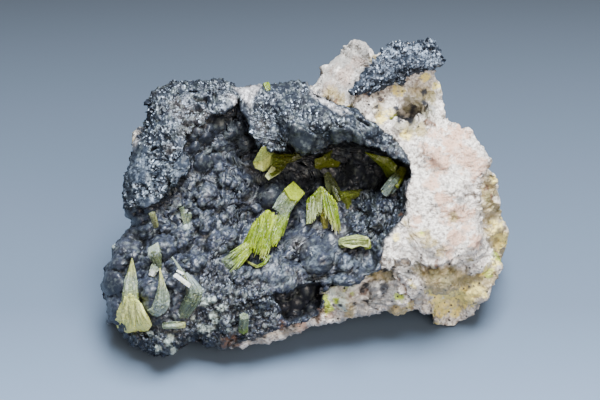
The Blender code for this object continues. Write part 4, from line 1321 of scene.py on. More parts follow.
def plate_face(column, row):
    depth = blended(column, row, PLATE_FRONT_DEPTHS)
    share, _ = edge_share(column, row, PLATE_CENTRE, PLATE_OUTLINE)
    return depth - rounding(share, 5) * 0.8 * MM


def plate_behind(column, row):
    return blended(column, row, PLATE_FRONT_DEPTHS) - PLATE_THICKNESS


# The crystals: stems of (column, row, rise above the face in mm, radius in mm), then the tints
# along the stem, how many needles it has, how far they spread, and the core's share of the width

LIME = (0.175, 0.265, 0.002)
SUNLIT = (0.33, 0.43, 0.006)
OLIVE = (0.09, 0.105, 0.005)
MOSS = (0.15, 0.18, 0.02)
SAGE = (0.145, 0.185, 0.12)
MIST = (0.26, 0.32, 0.25)
ICE = (0.25, 0.31, 0.30)
CHALK = (0.92, 0.92, 0.86)
STRAW = (0.40, 0.41, 0.13)
FROST = (0.31, 0.37, 0.15)

CRYSTALS = {
    "left_spire_crystal": [
        ([(130, 304, 0.4, 1.3), (131, 297, 1.5, 1.4), (131, 290, 1.9, 1.25),
          (131, 281, 2.1, 0.95), (132, 270, 2.6, 0.55), (132, 258, 3.0, 0.1)],
         [(0.46, 0.50, 0.16), (0.26, 0.30, 0.14), (0.15, 0.18, 0.11), (0.18, 0.22, 0.16), STRAW,
          STRAW], 90, 1.0, 0.85),
    ],
    "hooked_crystal": [
        ([(152, 311, 1.6, 0.75), (158, 311, 2.5, 1.15), (162, 303, 3.0, 1.2),
          (163, 294, 3.2, 0.95), (162, 284, 3.4, 0.5), (160, 268, 3.6, 0.08)],
         [ICE, ICE, MIST, SAGE, STRAW, (0.50, 0.46, 0.08)], 46, 1.0, 0.9),
    ],
    "waisted_crystal": [
        ([(159, 268, 0.6, 0.6), (157, 260, 1.4, 0.75), (154, 250, 2.2, 0.8)],
         [SAGE, (0.15, 0.18, 0.09), (0.18, 0.22, 0.13)], 24, 1.0, 0.9),
        ([(151, 276, 1.2, 0.5), (155, 268, 1.3, 0.75), (158, 261, 0.8, 0.6)],
         [CHALK, MIST, SAGE], 16, 1.0, 0.9),
    ],
    "curved_sheaf_crystal": [
        ([(183, 316, -0.6, 0.9), (187, 308, 0.8, 1.05), (193, 299, 1.9, 1.2),
          (196, 290, 2.4, 1.15), (191, 281, 2.7, 0.8), (186, 273, 3.0, 0.3)],
         [MIST, SAGE, (0.11, 0.15, 0.10), SAGE, ICE, ICE], 60, 1.2, 0.75),
        ([(188, 279, 3.0, 0.24), (172, 257, 3.5, 0.14)], [SAGE, MIST], 2, 1.0, 1.0),
        ([(186, 280, 3.3, 0.2), (176, 263, 3.8, 0.15)], [OLIVE, MIST], 2, 1.0, 1.0),
    ],
    "pale_bar_crystal": [
        ([(163, 326, 0.6, 0.6), (173, 325, 0.9, 0.7), (185, 325, 0.9, 0.65)],
         [MIST, MIST, STRAW], 14, 1.0, 0.9),
    ],
    "pale_upper_crystal": [
        ([(188, 227, -0.4, 0.5), (182, 207, 1.2, 0.45)], [MIST, SAGE], 8, 1.2, 0.8),
        ([(186, 226, -0.3, 0.45), (190, 213, 1.4, 0.35)], [MIST, MIST], 8, 1.2, 0.8),
    ],
    "olive_stub_crystal": [
        ([(156, 227, 2.0, 0.55), (152, 213, 3.2, 0.7)], [(0.16, 0.17, 0.07), (0.22, 0.23, 0.12)],
         8, 1.0, 0.9),
    ],
    "centre_sheaf_crystal": [
        ([(287, 199, 4.6, 1.2), (284, 204, 4.8, 1.25), (279, 212, 4.6, 1.2)],
         [MOSS, SAGE, SAGE], 0, 1.0, 0.9),
        ([(286, 207, 4.6, 0.8), (279, 226, 3.8, 0.85), (273, 241, 2.4, 0.5)],
         [SAGE, OLIVE, LIME], 0, 1.0, 0.8),
        ([(267, 216, 4.4, 0.8), (262, 228, 3.6, 1.5), (259, 241, 2.2, 1.1)],
         [LIME, OLIVE, OLIVE], 0, 1.0, 0.9),
        ([(240, 253, 0.4, 0.8), (232, 260, 0.4, 1.1), (225, 266, 0.2, 1.2)],
         [LIME, SAGE, SAGE], 20, 1.0, 0.95),
        ([(262, 250, 1.5, 0.3), (266, 262, 0.1, 0.5)], [LIME, MOSS], 14, 1.5, 0.6),
        ([(246, 261, 0.5, 0.2), (257, 267, 0.6, 0.28), (264, 264, 0.9, 0.28),
          (270, 256, 1.3, 0.2)], [MOSS, STRAW, LIME, LIME], 4, 1.3, 0.9),
    ],
    "right_sheaf_crystal": [
        ([(320, 192, 4.6, 0.8), (316, 200, 4.0, 1.0), (313, 208, 3.0, 0.5)],
         [LIME, MOSS, MOSS], 0, 1.0, 0.8),
        ([(324, 193, 4.6, 0.8), (330, 203, 3.8, 0.9), (333, 214, 2.6, 0.4)],
         [LIME, OLIVE, OLIVE], 0, 1.0, 0.8),
        ([(323, 203, 3.4, 0.7), (324, 214, 1.6, 0.85), (325, 227, -0.4, 0.8)],
         [(0.24, 0.23, 0.01), (0.20, 0.18, 0.01), (0.30, 0.30, 0.06)], 10, 1.0, 0.9),
    ],
    "crossed_prism_crystal": [
        ([(340, 202, -0.4, 0.9), (334, 190, 2.0, 0.85), (327, 174, 4.0, 0.75)],
         [OLIVE, (0.10, 0.12, 0.05), (0.13, 0.16, 0.07)], 16, 1.0, 0.95),
        ([(362, 193, 0.2, 0.8), (341, 196, 1.2, 0.95)], [(0.12, 0.14, 0.02), MOSS], 10, 1.0, 0.95),
        ([(347, 208, -0.4, 0.7), (347, 197, 1.2, 0.7)], [MOSS, OLIVE], 8, 1.0, 0.95),
    ],
    "pocket_block_crystal": [
        ([(281, 161, 1.4, 1.4), (266, 160, 3.4, 1.5)], [OLIVE, MOSS], 12, 1.0, 1.0),
        ([(276, 160, 2.4, 1.0), (292, 158, 2.6, 0.7), (306, 154, 3.2, 0.2)],
         [(0.16, 0.15, 0.01), OLIVE, OLIVE], 16, 1.0, 0.9),
    ],
    "pocket_olive_crystal": [
        ([(317, 167, 0.5, 0.8), (323, 160, 2.4, 0.8), (332, 151, 4.4, 0.2)],
         [OLIVE, OLIVE, MOSS], 18, 1.0, 0.9),
        ([(316, 164, 1.5, 0.7), (338, 165, 1.5, 0.6)], [OLIVE, OLIVE], 10, 1.0, 0.9),
    ],
    "pocket_blade_crystal": [
        ([(394, 178, -1.0, 1.1), (391, 168, 3.0, 1.0), (380, 161, 4.6, 0.4)],
         [OLIVE, MOSS, MOSS], 16, 1.0, 0.95),
        ([(402, 172, 1.6, 0.7), (394, 183, 3.0, 0.95), (385, 194, 1.4, 0.95)],
         [MOSS, SAGE, ICE], 30, 1.1, 0.8),
    ],
    "pale_lower_crystal": [
        ([(341, 243, 1.2, 0.9), (356, 241, 1.6, 1.0), (368, 241, 1.3, 0.8)],
         [FROST, FROST, MOSS], 26, 1.0, 0.9),
        ([(366, 241, 1.0, 0.8), (368, 249, 1.0, 0.6)], [MOSS, MOSS], 10, 1.0, 0.9),
    ],
    "foot_stub_crystal": [
        ([(243, 331, 0.2, 0.8), (243, 324, 1.0, 0.9), (244, 316, 2.0, 0.9)],
         [LIME, SAGE, SAGE], 12, 1.0, 0.95),
    ],
    "crest_crystal": [([(268, 92, -0.5, 0.6), (266, 84, 2.6, 0.7)], [MOSS, LIME], 8, 1.0, 0.9)],
}
# Flat facets: corners (column, row, rise in mm), a shift in pixels and a thickness in mm to the
# back, the middle's extra rise, the tint in front and the tint behind
FACETED = {
    "left_spire_crystal": [
        ([(123, 299, 1.8), (134, 297, 2.5), (142, 306, 2.1), (149, 317, 1.5), (152, 325, 1.0),
          (148, 331, 0.6), (139, 332, 0.5), (127, 333, 0.4), (117, 328, 0.5), (115, 320, 0.8),
          (117, 311, 1.0)], (0, 0), 2.4, 0.9, (0.98, 0.99, 0.34), (0.40, 0.44, 0.06)),
    ],
    "waisted_crystal": [
        ([(148, 248, 2.8), (158, 242, 3.0), (159, 252, 2.7), (154, 257, 2.5), (148, 255, 2.6)],
         (3, 6), 1.2, 0.1, (0.40, 0.48, 0.44), SAGE),
    ],
    "curved_sheaf_crystal": [
        # Painted highlight: a thin near-white slab along the curved sheaf, and a small one beside
        # it
        ([(173, 276, 4.5), (176, 273, 4.6), (191, 284, 3.9), (189, 288, 3.8)], (0.5, 0.5), 0.7,
         0.1, (0.98, 0.98, 0.96), CHALK),
        ([(176, 271, 4.4), (178, 269.5, 4.4), (184, 273, 4.0), (183, 275, 4.0)], (0.5, 0.5), 0.4,
         0.0, CHALK, MIST),
    ],
    "centre_sheaf_crystal": [
        ([(293.5, 181, 6.9), (305, 193, 6.6), (298, 201, 6.2), (290.5, 199, 6.2),
          (284.5, 189, 6.5)], (-5, 7), 1.5, 0.1, (0.36, 0.43, 0.03), (0.22, 0.28, 0.03)),
    ],
    "right_sheaf_crystal": [
        # Painted highlight: a thin light slab along the ridge of the prism's top
        ([(320, 186.5, 6.0), (323, 187, 6.0), (330, 195, 5.4), (326, 201, 4.9), (318, 197, 5.0),
          (313, 194, 5.2)], (0, 3), 0.7, 0.2, (0.34, 0.41, 0.05), MOSS),
    ],
    "crossed_prism_crystal": [
        ([(323.5, 176, 4.4), (332, 176.5, 4.2), (335, 184, 3.4), (326, 188, 3.4)], (3, 6), 0.9,
         0.0, (0.14, 0.17, 0.08), (0.08, 0.10, 0.02)),
    ],
    "pocket_block_crystal": [
        ([(253, 162, 5.0), (261.5, 147, 5.2), (272, 155, 4.4), (269, 166, 4.2), (263, 171.5, 4.8),
          (255, 168, 5.0)], (4, -1), 2.2, 0.0, (0.78, 0.83, 0.24), OLIVE),
        ([(265, 176, 5.0), (271, 166.5, 4.2), (284, 167, 3.0), (279, 174, 4.0), (268.5, 180, 4.9)],
         (4, -4), 1.6, 0.0, (0.80, 0.85, 0.36), OLIVE),
    ],
    "pocket_olive_crystal": [
        ([(314.5, 159, 2.6), (326, 156, 3.6), (332, 150.5, 5.2), (329.5, 158, 3.6), (340, 162, 2.4),
          (338, 167, 2.0), (315, 168, 1.8)], (1, 0), 0.8, 0.1, (0.13, 0.15, 0.01), OLIVE),
    ],
    "pocket_blade_crystal": [
        ([(364.5, 152, 6.6), (377, 155, 6.2), (389, 157.5, 5.4), (397, 165, 4.6),
          (394.5, 173, 3.8), (386.5, 177, 3.6), (381.5, 167.5, 5.0)], (1, 1), 0.8, 0.1,
         (0.19, 0.24, 0.01), OLIVE),
        ([(400, 166, 4.2), (407, 168, 3.0), (402, 180, 3.0), (397, 188, 3.0), (393, 183, 3.2),
          (396, 173, 3.8)], (1, 1), 0.7, 0.1, (0.15, 0.17, 0.01), OLIVE),
    ],
    "pale_lower_crystal": [
        ([(338.5, 241.5, 2.2), (345, 237, 2.6), (356, 238, 2.7), (366, 236, 2.2),
          (370.5, 240.5, 1.8), (368.5, 247.5, 1.6), (360, 245.5, 2.0), (352, 248.5, 2.0),
          (344, 246, 2.0)], (0, 0.5), 1.0, 0.2, (0.50, 0.56, 0.24), MOSS),
    ],
}
# Sprays of straight needles, each from a place on the first line to its fellow on the second:
# lines of (column, row, rise in mm), tints from root to tip, how many, and their radius in mm
SPRAYS = {
    "centre_sheaf_crystal": [
        ([(286, 189, 6.2), (297, 201, 6.0)], [(274.5, 207, 5.2), (285, 216, 4.8)],
         [MOSS, SAGE, SAGE, MIST], 60, 0.24),
        ([(281, 208, 5.0), (291.5, 205, 5.2)], [(267, 245, 2.6), (274.5, 246, 2.4)],
         [SAGE, LIME, LIME, SUNLIT], 70, 0.22),
        ([(268, 208.5, 5.5), (255.5, 221, 4.6)], [(263, 248, 2.6), (247, 249, 1.8)],
         [SUNLIT, LIME, LIME, SUNLIT], 110, 0.24),
        ([(268, 209, 5.4), (278, 217, 5.0)], [(255, 250, 2.4), (270, 248, 2.6)],
         [SUNLIT, SUNLIT, LIME, LIME], 90, 0.22),
        ([(256, 220, 4.5), (250, 232, 3.6)], [(250, 244, 2.4), (243, 249, 1.2)],
         [SUNLIT, LIME, LIME], 40, 0.22),
        ([(262, 234, 3.8), (272, 240, 3.2)], [(254, 255, 1.4), (265, 258, 1.4)],
         [LIME, SUNLIT, STRAW], 26, 0.13),
        ([(255, 236, 3.0), (252, 250, 2.0)], [(226, 258, 0.8), (234, 271, 0.8)],
         [LIME, SUNLIT, LIME, SAGE], 80, 0.22),
    ],
    "right_sheaf_crystal": [
        ([(321, 187, 5.8), (308, 198.5, 4.9)], [(321, 209, 4.0), (307.5, 224, 1.8)],
         [LIME, MOSS, FROST, FROST], 100, 0.22),
        ([(322, 187, 5.8), (336, 201, 4.8)], [(326, 214, 3.2), (338.5, 231, 0.8)],
         [SUNLIT, LIME, LIME, STRAW], 110, 0.20),
        ([(331, 204, 4.6), (336, 206, 4.4)], [(332, 233, 0.8), (338, 234, 0.6)],
         [LIME, SUNLIT, CHALK], 16, 0.13),
    ],
    "left_spire_crystal": [
        ([(125, 298, 3.1), (131, 293, 3.9), (138, 302, 3.4)],
         [(120, 321, 2.9), (130, 325, 3.3), (147, 321, 2.9)],
         [(0.86, 0.90, 0.26), (0.98, 0.99, 0.38), (0.95, 0.97, 0.32)], 60, 0.30),
    ],
}
FACETS = 6
CORE_RIDGES = 5
CORE_BRIGHTNESS = 0.9
BRIGHTEST = 0.95
# A direction that no stem runs along
ASKEW = [0.31, 0.17, 0.93]
# Shares of a needle's thickness from root to tip, in a bundle and in a spray
NEEDLE_TAPER = np.array([0.8, 1, 1, 1, 0.95, 0.8, 0.35])
SPRAY_TAPER = np.array([0.75, 1.0, 0.9, 0.3])
# The ring inside a facet's corners: its share of the way to the middle, and its rise in mm
BEVEL_SHARE = 0.16
BEVEL_RISE = 0.08


def face_under_crystals(column, row):
    """The crust's face from which a crystal's height is reckoned."""
    floor = blended(column, row, CRUST_FLOOR_DEPTHS)
    shelf = blended(column, row, CRUST_SHELF_DEPTHS)
    on_shelf = smooth_step(inside_by(column, row, SHELF_EDGE), -1, 4)
    hollow = smooth_step(inside_by(column, row, HOLLOW_EDGE), 0, 5)
    depth = floor - HOLLOW_DEPTH * hollow
    depth = depth + (shelf - depth) * on_shelf
    drop, _ = crust_rim_drop(column, row)
    return np.maximum(depth - drop, floor_depth(row, 2 * FLOOR_MARGIN))


def stem_line(stations):
    """Middle points and radii of a stem, in metres."""
    marks = np.array(stations, float)
    depth = face_under_crystals(marks[:, 0], marks[:, 1]) + marks[:, 2] * MM
    return place(marks[:, 0], marks[:, 1], depth), marks[:, 3] * MM


def along_line(middles, radii, shares):
    """Points and radii at shares of the line's length, straight between its stations."""
    lengths = np.concatenate([[0], np.cumsum(np.linalg.norm(np.diff(middles, axis=0), axis=1))])
    lengths = lengths / lengths[-1]
    at = np.stack([np.interp(shares, lengths, middles[:, k]) for k in range(3)], -1)
    return at, np.interp(shares, lengths, radii)


def needle(middles, radii, turn, ridges, seed):
    """A closed prism carried along a path: six flat sides, each cut into ridged strips whose
    radius varies a little, the same all the way along, as striations do."""
    around = FACETS * ridges
    angles = turn + np.arange(around) * 2 * math.pi / around
    flat_angle = 2 * math.pi / FACETS
    sector = (angles - turn) % flat_angle - flat_angle / 2
    hexagon = math.cos(flat_angle / 2) / np.cos(sector)
    rng = np.random.default_rng(seed)
    grooves = 1 - 0.07 * rng.random(around) * (ridges > 1)
    along = np.gradient(middles, axis=0)
    along /= np.linalg.norm(along, axis=1)[:, None]
    side = np.cross(along, ASKEW)
    side /= np.linalg.norm(side, axis=1)[:, None]
    other = np.cross(along, side)
    reach_out = (radii[:, None] * hexagon * grooves)[..., None]
    ring = side[:, None] * np.cos(angles)[:, None] + other[:, None] * np.sin(angles)[:, None]
    points = (middles[:, None] + reach_out * ring).reshape(-1, 3)
    count = len(middles)
    number = np.arange(count * around).reshape(count, around)
    start, end = number[:-1], number[1:]
    quads = np.stack([start, np.roll(start, -1, 1), np.roll(end, -1, 1), end], -1).reshape(-1, 4)
    points = np.concatenate([points, middles[:1], middles[-1:] + along[-1] * radii[-1] * 0.12])
    first = np.stack([np.roll(number[0], -1), number[0], np.full(around, len(points) - 2)], -1)
    last = np.stack([number[-1], np.roll(number[-1], -1), np.full(around, len(points) - 1)], -1)
    share = np.concatenate([np.repeat(np.linspace(0, 1, count), around), [0, 1]])
    return points, quads, np.concatenate([first, last]), share


def bundle(stations, tints, count, spread, core_share, seed):
    """A stem as a core prism with many thin needles beside it, each shifted within the stem's
    width, with its own length and brightness, and leaning out a little at the tip."""
    middles, radii = stem_line(stations)
    rng = np.random.default_rng(seed)
    steps = np.linspace(0, 1, 4 * len(stations))
    core, core_radii = along_line(middles, radii, steps)
    core_prism = needle(core, core_radii * core_share, 0.3, CORE_RIDGES, seed)
    made = [(*core_prism, 0.0, 1.0, CORE_BRIGHTNESS)]
    direction = middles[-1] - middles[0]
    direction /= np.linalg.norm(direction)
    side = np.cross(direction, ASKEW)
    side /= np.linalg.norm(side)
    other = np.cross(direction, side)
    for index in range(count):
        turn = rng.random() * 2 * math.pi
        offset = 0.62 + 0.33 * rng.random()
        lean = 1 + (spread - 1) * rng.uniform(0.4, 1.8) + rng.normal(0, 0.05)
        first = max(0.0, rng.normal(0.12, 0.2))
        last = min(1.0, 1.04 - abs(rng.normal(0, 0.26)))
        if last - first < 0.12:
            continue
        shares = np.linspace(first, last, len(NEEDLE_TAPER))
        line, width = along_line(middles, radii, shares)
        away = math.cos(turn) * side + math.sin(turn) * other
        out = (width * offset * (1 + (lean - 1) * shares))[:, None]
        line = line + out * away
        widest = min(radii.max() * 0.3, 0.5 * MM)
        thick = np.clip(width * rng.uniform(0.14, 0.32), 0.055 * MM, widest)
        thick = thick * NEEDLE_TAPER
        made.append((*needle(line, thick, rng.random(), 1, seed + index), first, last,
                     rng.uniform(0.45, 1.45)))
    return coloured(made, tints)


def spray(starts, ends, tints, count, radius, seed):
    """Straight needles from one line to another, side by side and a little uneven."""
    first_line, _ = stem_line([(*mark, 0) for mark in starts])
    last_line, _ = stem_line([(*mark, 0) for mark in ends])
    rng = np.random.default_rng(seed)
    made = []
    for index in range(count):
        share = (index + rng.random()) / count
        begin, _ = along_line(first_line, np.zeros(len(first_line)), [share])
        finish, _ = along_line(last_line, np.zeros(len(last_line)), [share])
        begin = begin[0] + rng.normal(0, 0.08, 3) * MM + rng.uniform(0, 0.25) * (finish - begin)[0]
        finish = begin + (finish[0] - begin) * rng.uniform(0.58, 1.14)
        finish = finish + rng.normal(0, 0.26, 3) * MM
        line = begin + (finish - begin) * np.linspace(0, 1, len(SPRAY_TAPER))[:, None]
        thick = radius * MM * rng.uniform(0.6, 1.3) * SPRAY_TAPER
        made.append((*needle(line, thick, rng.random(), 1, seed + index), 0.0, 1.0,
                     rng.uniform(0.5, 1.5)))
    return coloured(made, tints)


def joined(parts):
    """One form from several, each of them points, quads, triangles and colours."""
    points, quads, triangles, colours = zip(*parts)
    starts = np.cumsum([0] + [len(part) for part in points[:-1]])
    quads = [part + start for part, start in zip(quads, starts)]
    triangles = [part + start for part, start in zip(triangles, starts)]
    return [np.concatenate(rows) for rows in (points, quads, triangles, colours)]


def coloured(made, tints):
    """Joins prisms into one form, the colour going along each prism between the tints. Each
    prism has its share of the tints and its brightness, and no colour goes past the
    brightest that a finish may have."""
    palette = np.array(tints)
    marks = np.linspace(0, 1, len(palette))
    parts = []
    for points, quads, triangles, share, first, last, bright in made:
        share = first + (last - first) * share
        colour = np.stack([np.interp(share, marks, palette[:, k]) for k in range(3)], -1)
        colour = colour * bright
        colour = colour * np.minimum(1, BRIGHTEST / colour.max(axis=1, keepdims=True))
        parts.append((points, quads, triangles, colour))
    return joined(parts)


def faceted(corners, shift, thickness, middle_rise, tint, back_tint):
    """A flat closed block seen from the front: the corners, a ring inside them and a middle
    point a little higher, and the same corners shifted to the back."""
    marks = np.array(corners, float)
    count = len(marks)
    depth = face_under_crystals(marks[:, 0], marks[:, 1]) + marks[:, 2] * MM
    front = place(marks[:, 0], marks[:, 1], depth)
    behind = place(marks[:, 0] + shift[0], marks[:, 1] + shift[1], depth - thickness * MM)
    middle = front.mean(axis=0) + (middle_rise + BEVEL_RISE) * MM * TOWARDS
    inner = front + BEVEL_SHARE * (middle - front) + BEVEL_RISE * MM * TOWARDS
    points = np.concatenate([inner, front, behind, [middle, behind.mean(axis=0)]])
    ring = np.arange(count)
    after = np.roll(ring, -1)
    strip = np.stack([ring, after, after + count, ring + count], -1)
    quads = np.concatenate([strip, strip + count])
    triangles = np.concatenate([
        np.stack([after, ring, np.full(count, 3 * count)], -1),
        np.stack([ring + 2 * count, after + 2 * count, np.full(count, 3 * count + 1)], -1),
    ])
    colours = np.array([tint] * 2 * count + [back_tint] * count + [tint, back_tint])
    across = np.roll(marks, -1, axis=0) - marks
    turning = (marks[:, 0] * across[:, 1] - marks[:, 1] * across[:, 0]).sum()
    if turning < 0:
        quads, triangles = quads[:, ::-1], triangles[:, ::-1]
    return points, quads, triangles, colours


def crystal_material():
    made, tree, shader = new_material("Pyromorphite", 0.25)
    tint = add_node(tree, "ShaderNodeAttribute", attribute_name="tint")
    mottle = placed_group(tree, "Mottle", Pitch=2000.0, Contrast=2.6)
    glints = placed_group(tree, "Crystal glints", Pitch=3600.0, Tilt=0.45)
    darker = add_node(tree, "ShaderNodeMix", data_type="RGBA", blend_type="MULTIPLY")
    tree.links.new(ranged(tree, mottle.outputs[0], 0.0, 1.0, 0.75, 0.0), darker.inputs[0])
    tree.links.new(tint.outputs["Color"], darker.inputs[6])
    darker.inputs[7].default_value = (0.50, 0.55, 0.42, 1.0)
    # Painted glints: a few grains lightened towards a pale lime
    glint_specks = ranged(tree, glints.outputs["Grain"], 0.95, 0.98, 0.0, 0.4)
    colour = mixed(tree, glint_specks, darker.outputs[2], (0.64, 0.68, 0.34))
    tree.links.new(colour, shader.inputs["Base Color"])
    rough = ranged(tree, mottle.outputs[0], 0.2, 0.8, 0.22, 0.46)
    tree.links.new(rough, shader.inputs["Roughness"])
    shader.inputs["IOR"].default_value = 1.6
    shader.inputs["Specular IOR Level"].default_value = 0.35
    shader.inputs["Transmission Weight"].default_value = 0.22
    shader.inputs["Subsurface Weight"].default_value = 0.30
    shader.inputs["Subsurface Radius"].default_value = (1.0, 1.0, 0.3)
    shader.inputs["Subsurface Scale"].default_value = 0.0008
    normal = glinting_normal(tree, 0.4, 0.0001, mottle.outputs[0], glints)
    tree.links.new(normal, shader.inputs["Normal"])
    return made


# Studio

LIGHT_TARGET = (0, 0, 0.02)


def add_area_light(name, location, target, size, power, colour):
    light = bpy.data.lights.new(name, "AREA")
    light.shape = "RECTANGLE"
    light.size, light.size_y = size
    light.energy = power
    light.color = colour
    lamp = bpy.data.objects.new(name, light)
    bpy.context.scene.collection.objects.link(lamp)
    away = np.array(location) - np.array(target)
    lamp.location = location
    level = math.hypot(away[0], away[1])
    lamp.rotation_euler = (math.atan2(level, away[2]), 0, math.atan2(away[0], -away[1]))
    return lamp


class StudioSettings(bpy.types.PropertyGroup):
    # The sweep's colour under the specimen; it is painted darker towards the back and lighter at
    # the front, as falloff of the light
    floor_colour: bpy.props.FloatVectorProperty(
        name="Floor", description="Colour of the plain sweep", subtype="COLOR",
        default=(0.073, 0.103, 0.149),
    )
    key_power: bpy.props.FloatProperty(
        name="Key light", description="Power of the large light above, in watts", default=12.0,
    )
    fill_power: bpy.props.FloatProperty(
        name="Fill light", description="Power of the soft light in front, in watts", default=3.4,
    )


class CrustSettings(bpy.types.PropertyGroup):
    cells: bpy.props.IntProperty(
        name="Grid cells", description="Cells across the crust's face", default=284,
    )
    # The crease colour and the top colour are mixed by the crest mask: painted shade in the
    # creases, painted light on the tops
    dark_colour: bpy.props.FloatVectorProperty(
        name="Oxide", description="Colour in the creases of the bubbles", subtype="COLOR",
        default=(0.006, 0.007, 0.010),
    )
    dusty_colour: bpy.props.FloatVectorProperty(
        name="Dusty oxide", description="Colour on top of the bubbles", subtype="COLOR",
        default=(0.044, 0.053, 0.083),
    )
    steel_colour: bpy.props.FloatVectorProperty(
        name="Cleaved oxide", description="Colour of the broken shelf", subtype="COLOR",
        default=(0.036, 0.048, 0.070),
    )


class RockSettings(bpy.types.PropertyGroup):
    cells: bpy.props.IntProperty(
        name="Grid cells", description="Cells across the rock's face", default=196,
    )
    white_colour: bpy.props.FloatVectorProperty(
        name="White quartz", description="Clean grains", subtype="COLOR",
        default=(0.94, 0.88, 0.81),
    )
    shade_colour: bpy.props.FloatVectorProperty(
        name="Grey quartz", description="Duller grains", subtype="COLOR",
        default=(0.34, 0.29, 0.255),
    )
    pink_colour: bpy.props.FloatVectorProperty(
        name="Pink quartz", description="Pink and beige stain", subtype="COLOR",
        default=(0.68, 0.40, 0.27),
    )
    tan_colour: bpy.props.FloatVectorProperty(
        name="Tan stain", description="Iron stain", subtype="COLOR",
        default=(0.54, 0.43, 0.22),
    )


class CrystalSettings(bpy.types.PropertyGroup):
    needle_share: bpy.props.FloatProperty(
        name="Needles", description="Share of the needles that are grown", subtype="FACTOR",
        default=1.0, min=0.0, max=1.0,
    )


class SPECIMEN_OT_studio(bpy.types.Operator):
    """Makes the floor, the lights and the camera"""

    bl_idname = "specimen.studio"
    bl_label = "Studio"

    def execute(self, context):
        settings = context.scene.specimen_studio
        finish, tree, shader = new_material("Paper sweep", 0.9)
        split = add_node(tree, "ShaderNodeSeparateXYZ", {0: object_place(tree)})
        near = tuple(settings.floor_colour)
        # Painted falloff of the light: the sweep darkens towards the back and lightens at the front
        behind = ranged(tree, split.outputs[1], 0.0, 0.12)
        before = ranged(tree, split.outputs[1], -0.035, 0.0, 1.0, 0.0)
        colour = mixed(tree, behind, near, tuple(0.22 * c for c in near))
        colour = mixed(tree, before, colour, tuple(1.7 * c for c in near))
        tree.links.new(colour, shader.inputs["Base Color"])
        size = 3.0
        corners = [(-size, -size, 0), (size, -size, 0), (size, size, 0), (-size, size, 0)]
        floor = add_mesh("floor", np.array(corners), [np.array([[0, 1, 2, 3]])], finish, {})
        world = bpy.data.worlds.new("Studio air")
        world.use_nodes = True
        background = world.node_tree.nodes["Background"]
        background.inputs["Color"].default_value = (1.06, 0.95, 0.86, 1.0)
        background.inputs["Strength"].default_value = 0.213
        context.scene.world = world
        add_area_light("key", (0.06, -0.02, 0.48), LIGHT_TARGET, (0.32, 0.24),
                       settings.key_power, (0.88, 0.94, 1.0))
        add_area_light("fill", (0.16, -0.46, 0.32), LIGHT_TARGET, (0.40, 0.30),
                       settings.fill_power, (1.0, 0.88, 0.76))
        data = bpy.data.cameras.new("camera")
        data.sensor_width = 36.0
        data.lens = 36.0 * SIGHT_DISTANCE / (600 * PIXEL)
        data.clip_start = 0.01
        camera = bpy.data.objects.new("camera", data)
        camera.location = SIGHT_POINT + TOWARDS * SIGHT_DISTANCE
        camera.rotation_euler = (math.pi / 2 - SIGHT_ELEVATION, 0, 0)
        context.scene.collection.objects.link(camera)
        context.scene.camera = camera
        return {"FINISHED"}


class SPECIMEN_OT_rock(bpy.types.Operator):
    """Makes the quartz rock"""

    bl_idname = "specimen.rock"
    bl_label = "Quartz rock"

    def execute(self, context):
        settings = context.scene.specimen_rock
        rings = [(1 - 0.2 * part**3, part) for part in np.linspace(0.045, 1, 22)]
        points, quads, _, column, row, behind = shell(
            MATRIX_CENTRE, MATRIX_OUTLINE, matrix_face, matrix_behind, settings.cells, rings,
            7, uneven=(1.2, 1.0),
        )
        points = rough_sides(points)
        relief = matrix_relief(points, column, row, behind)
        points = pushed_out(points, quads, relief)
        points[:, 2] = np.maximum(points[:, 2], 0.0)
        masks = rock_masks(points, column, row, behind)
        rock = add_mesh("quartz_rock", points, [quads], quartz_material(settings), masks)
        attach(rock, "root")
        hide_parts("quartz_matrix")
        return {"FINISHED"}


class SPECIMEN_OT_crust(bpy.types.Operator):
    """Makes the bubbly oxide crust"""

    bl_idname = "specimen.crust"
    bl_label = "Oxide crust"

    def execute(self, context):
        settings = context.scene.specimen_crust
        rings = [(1 - 0.015 * part**3, part) for part in np.linspace(0.1, 1, 10)]
        rings = rings + [(0.95, 1.0), (0.9, 1.0), (0.8, 1.0), (0.4, 1.0)]
        points, quads, triangles, column, row, behind = shell(
            CRUST_CENTRE, CRUST_OUTLINE, crust_face, crust_back, settings.cells, rings, 17,
            uneven=(1.2, 1.3), fan=True,
        )
        relief, masks = crust_relief(points, column, row, behind)
        relief = relief * (1 - 0.5 * smooth_step(behind, 0.5, 1.0))
        points = pushed_out(points, quads, relief)
        points[:, 2] = np.maximum(points[:, 2], CRUST_CLEARANCE)
        crust = add_mesh("oxide_crust", points, [quads, triangles], crust_material(settings),
                         masks)
        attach(crust, "root")
        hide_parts("botryoidal_crust")
        return {"FINISHED"}


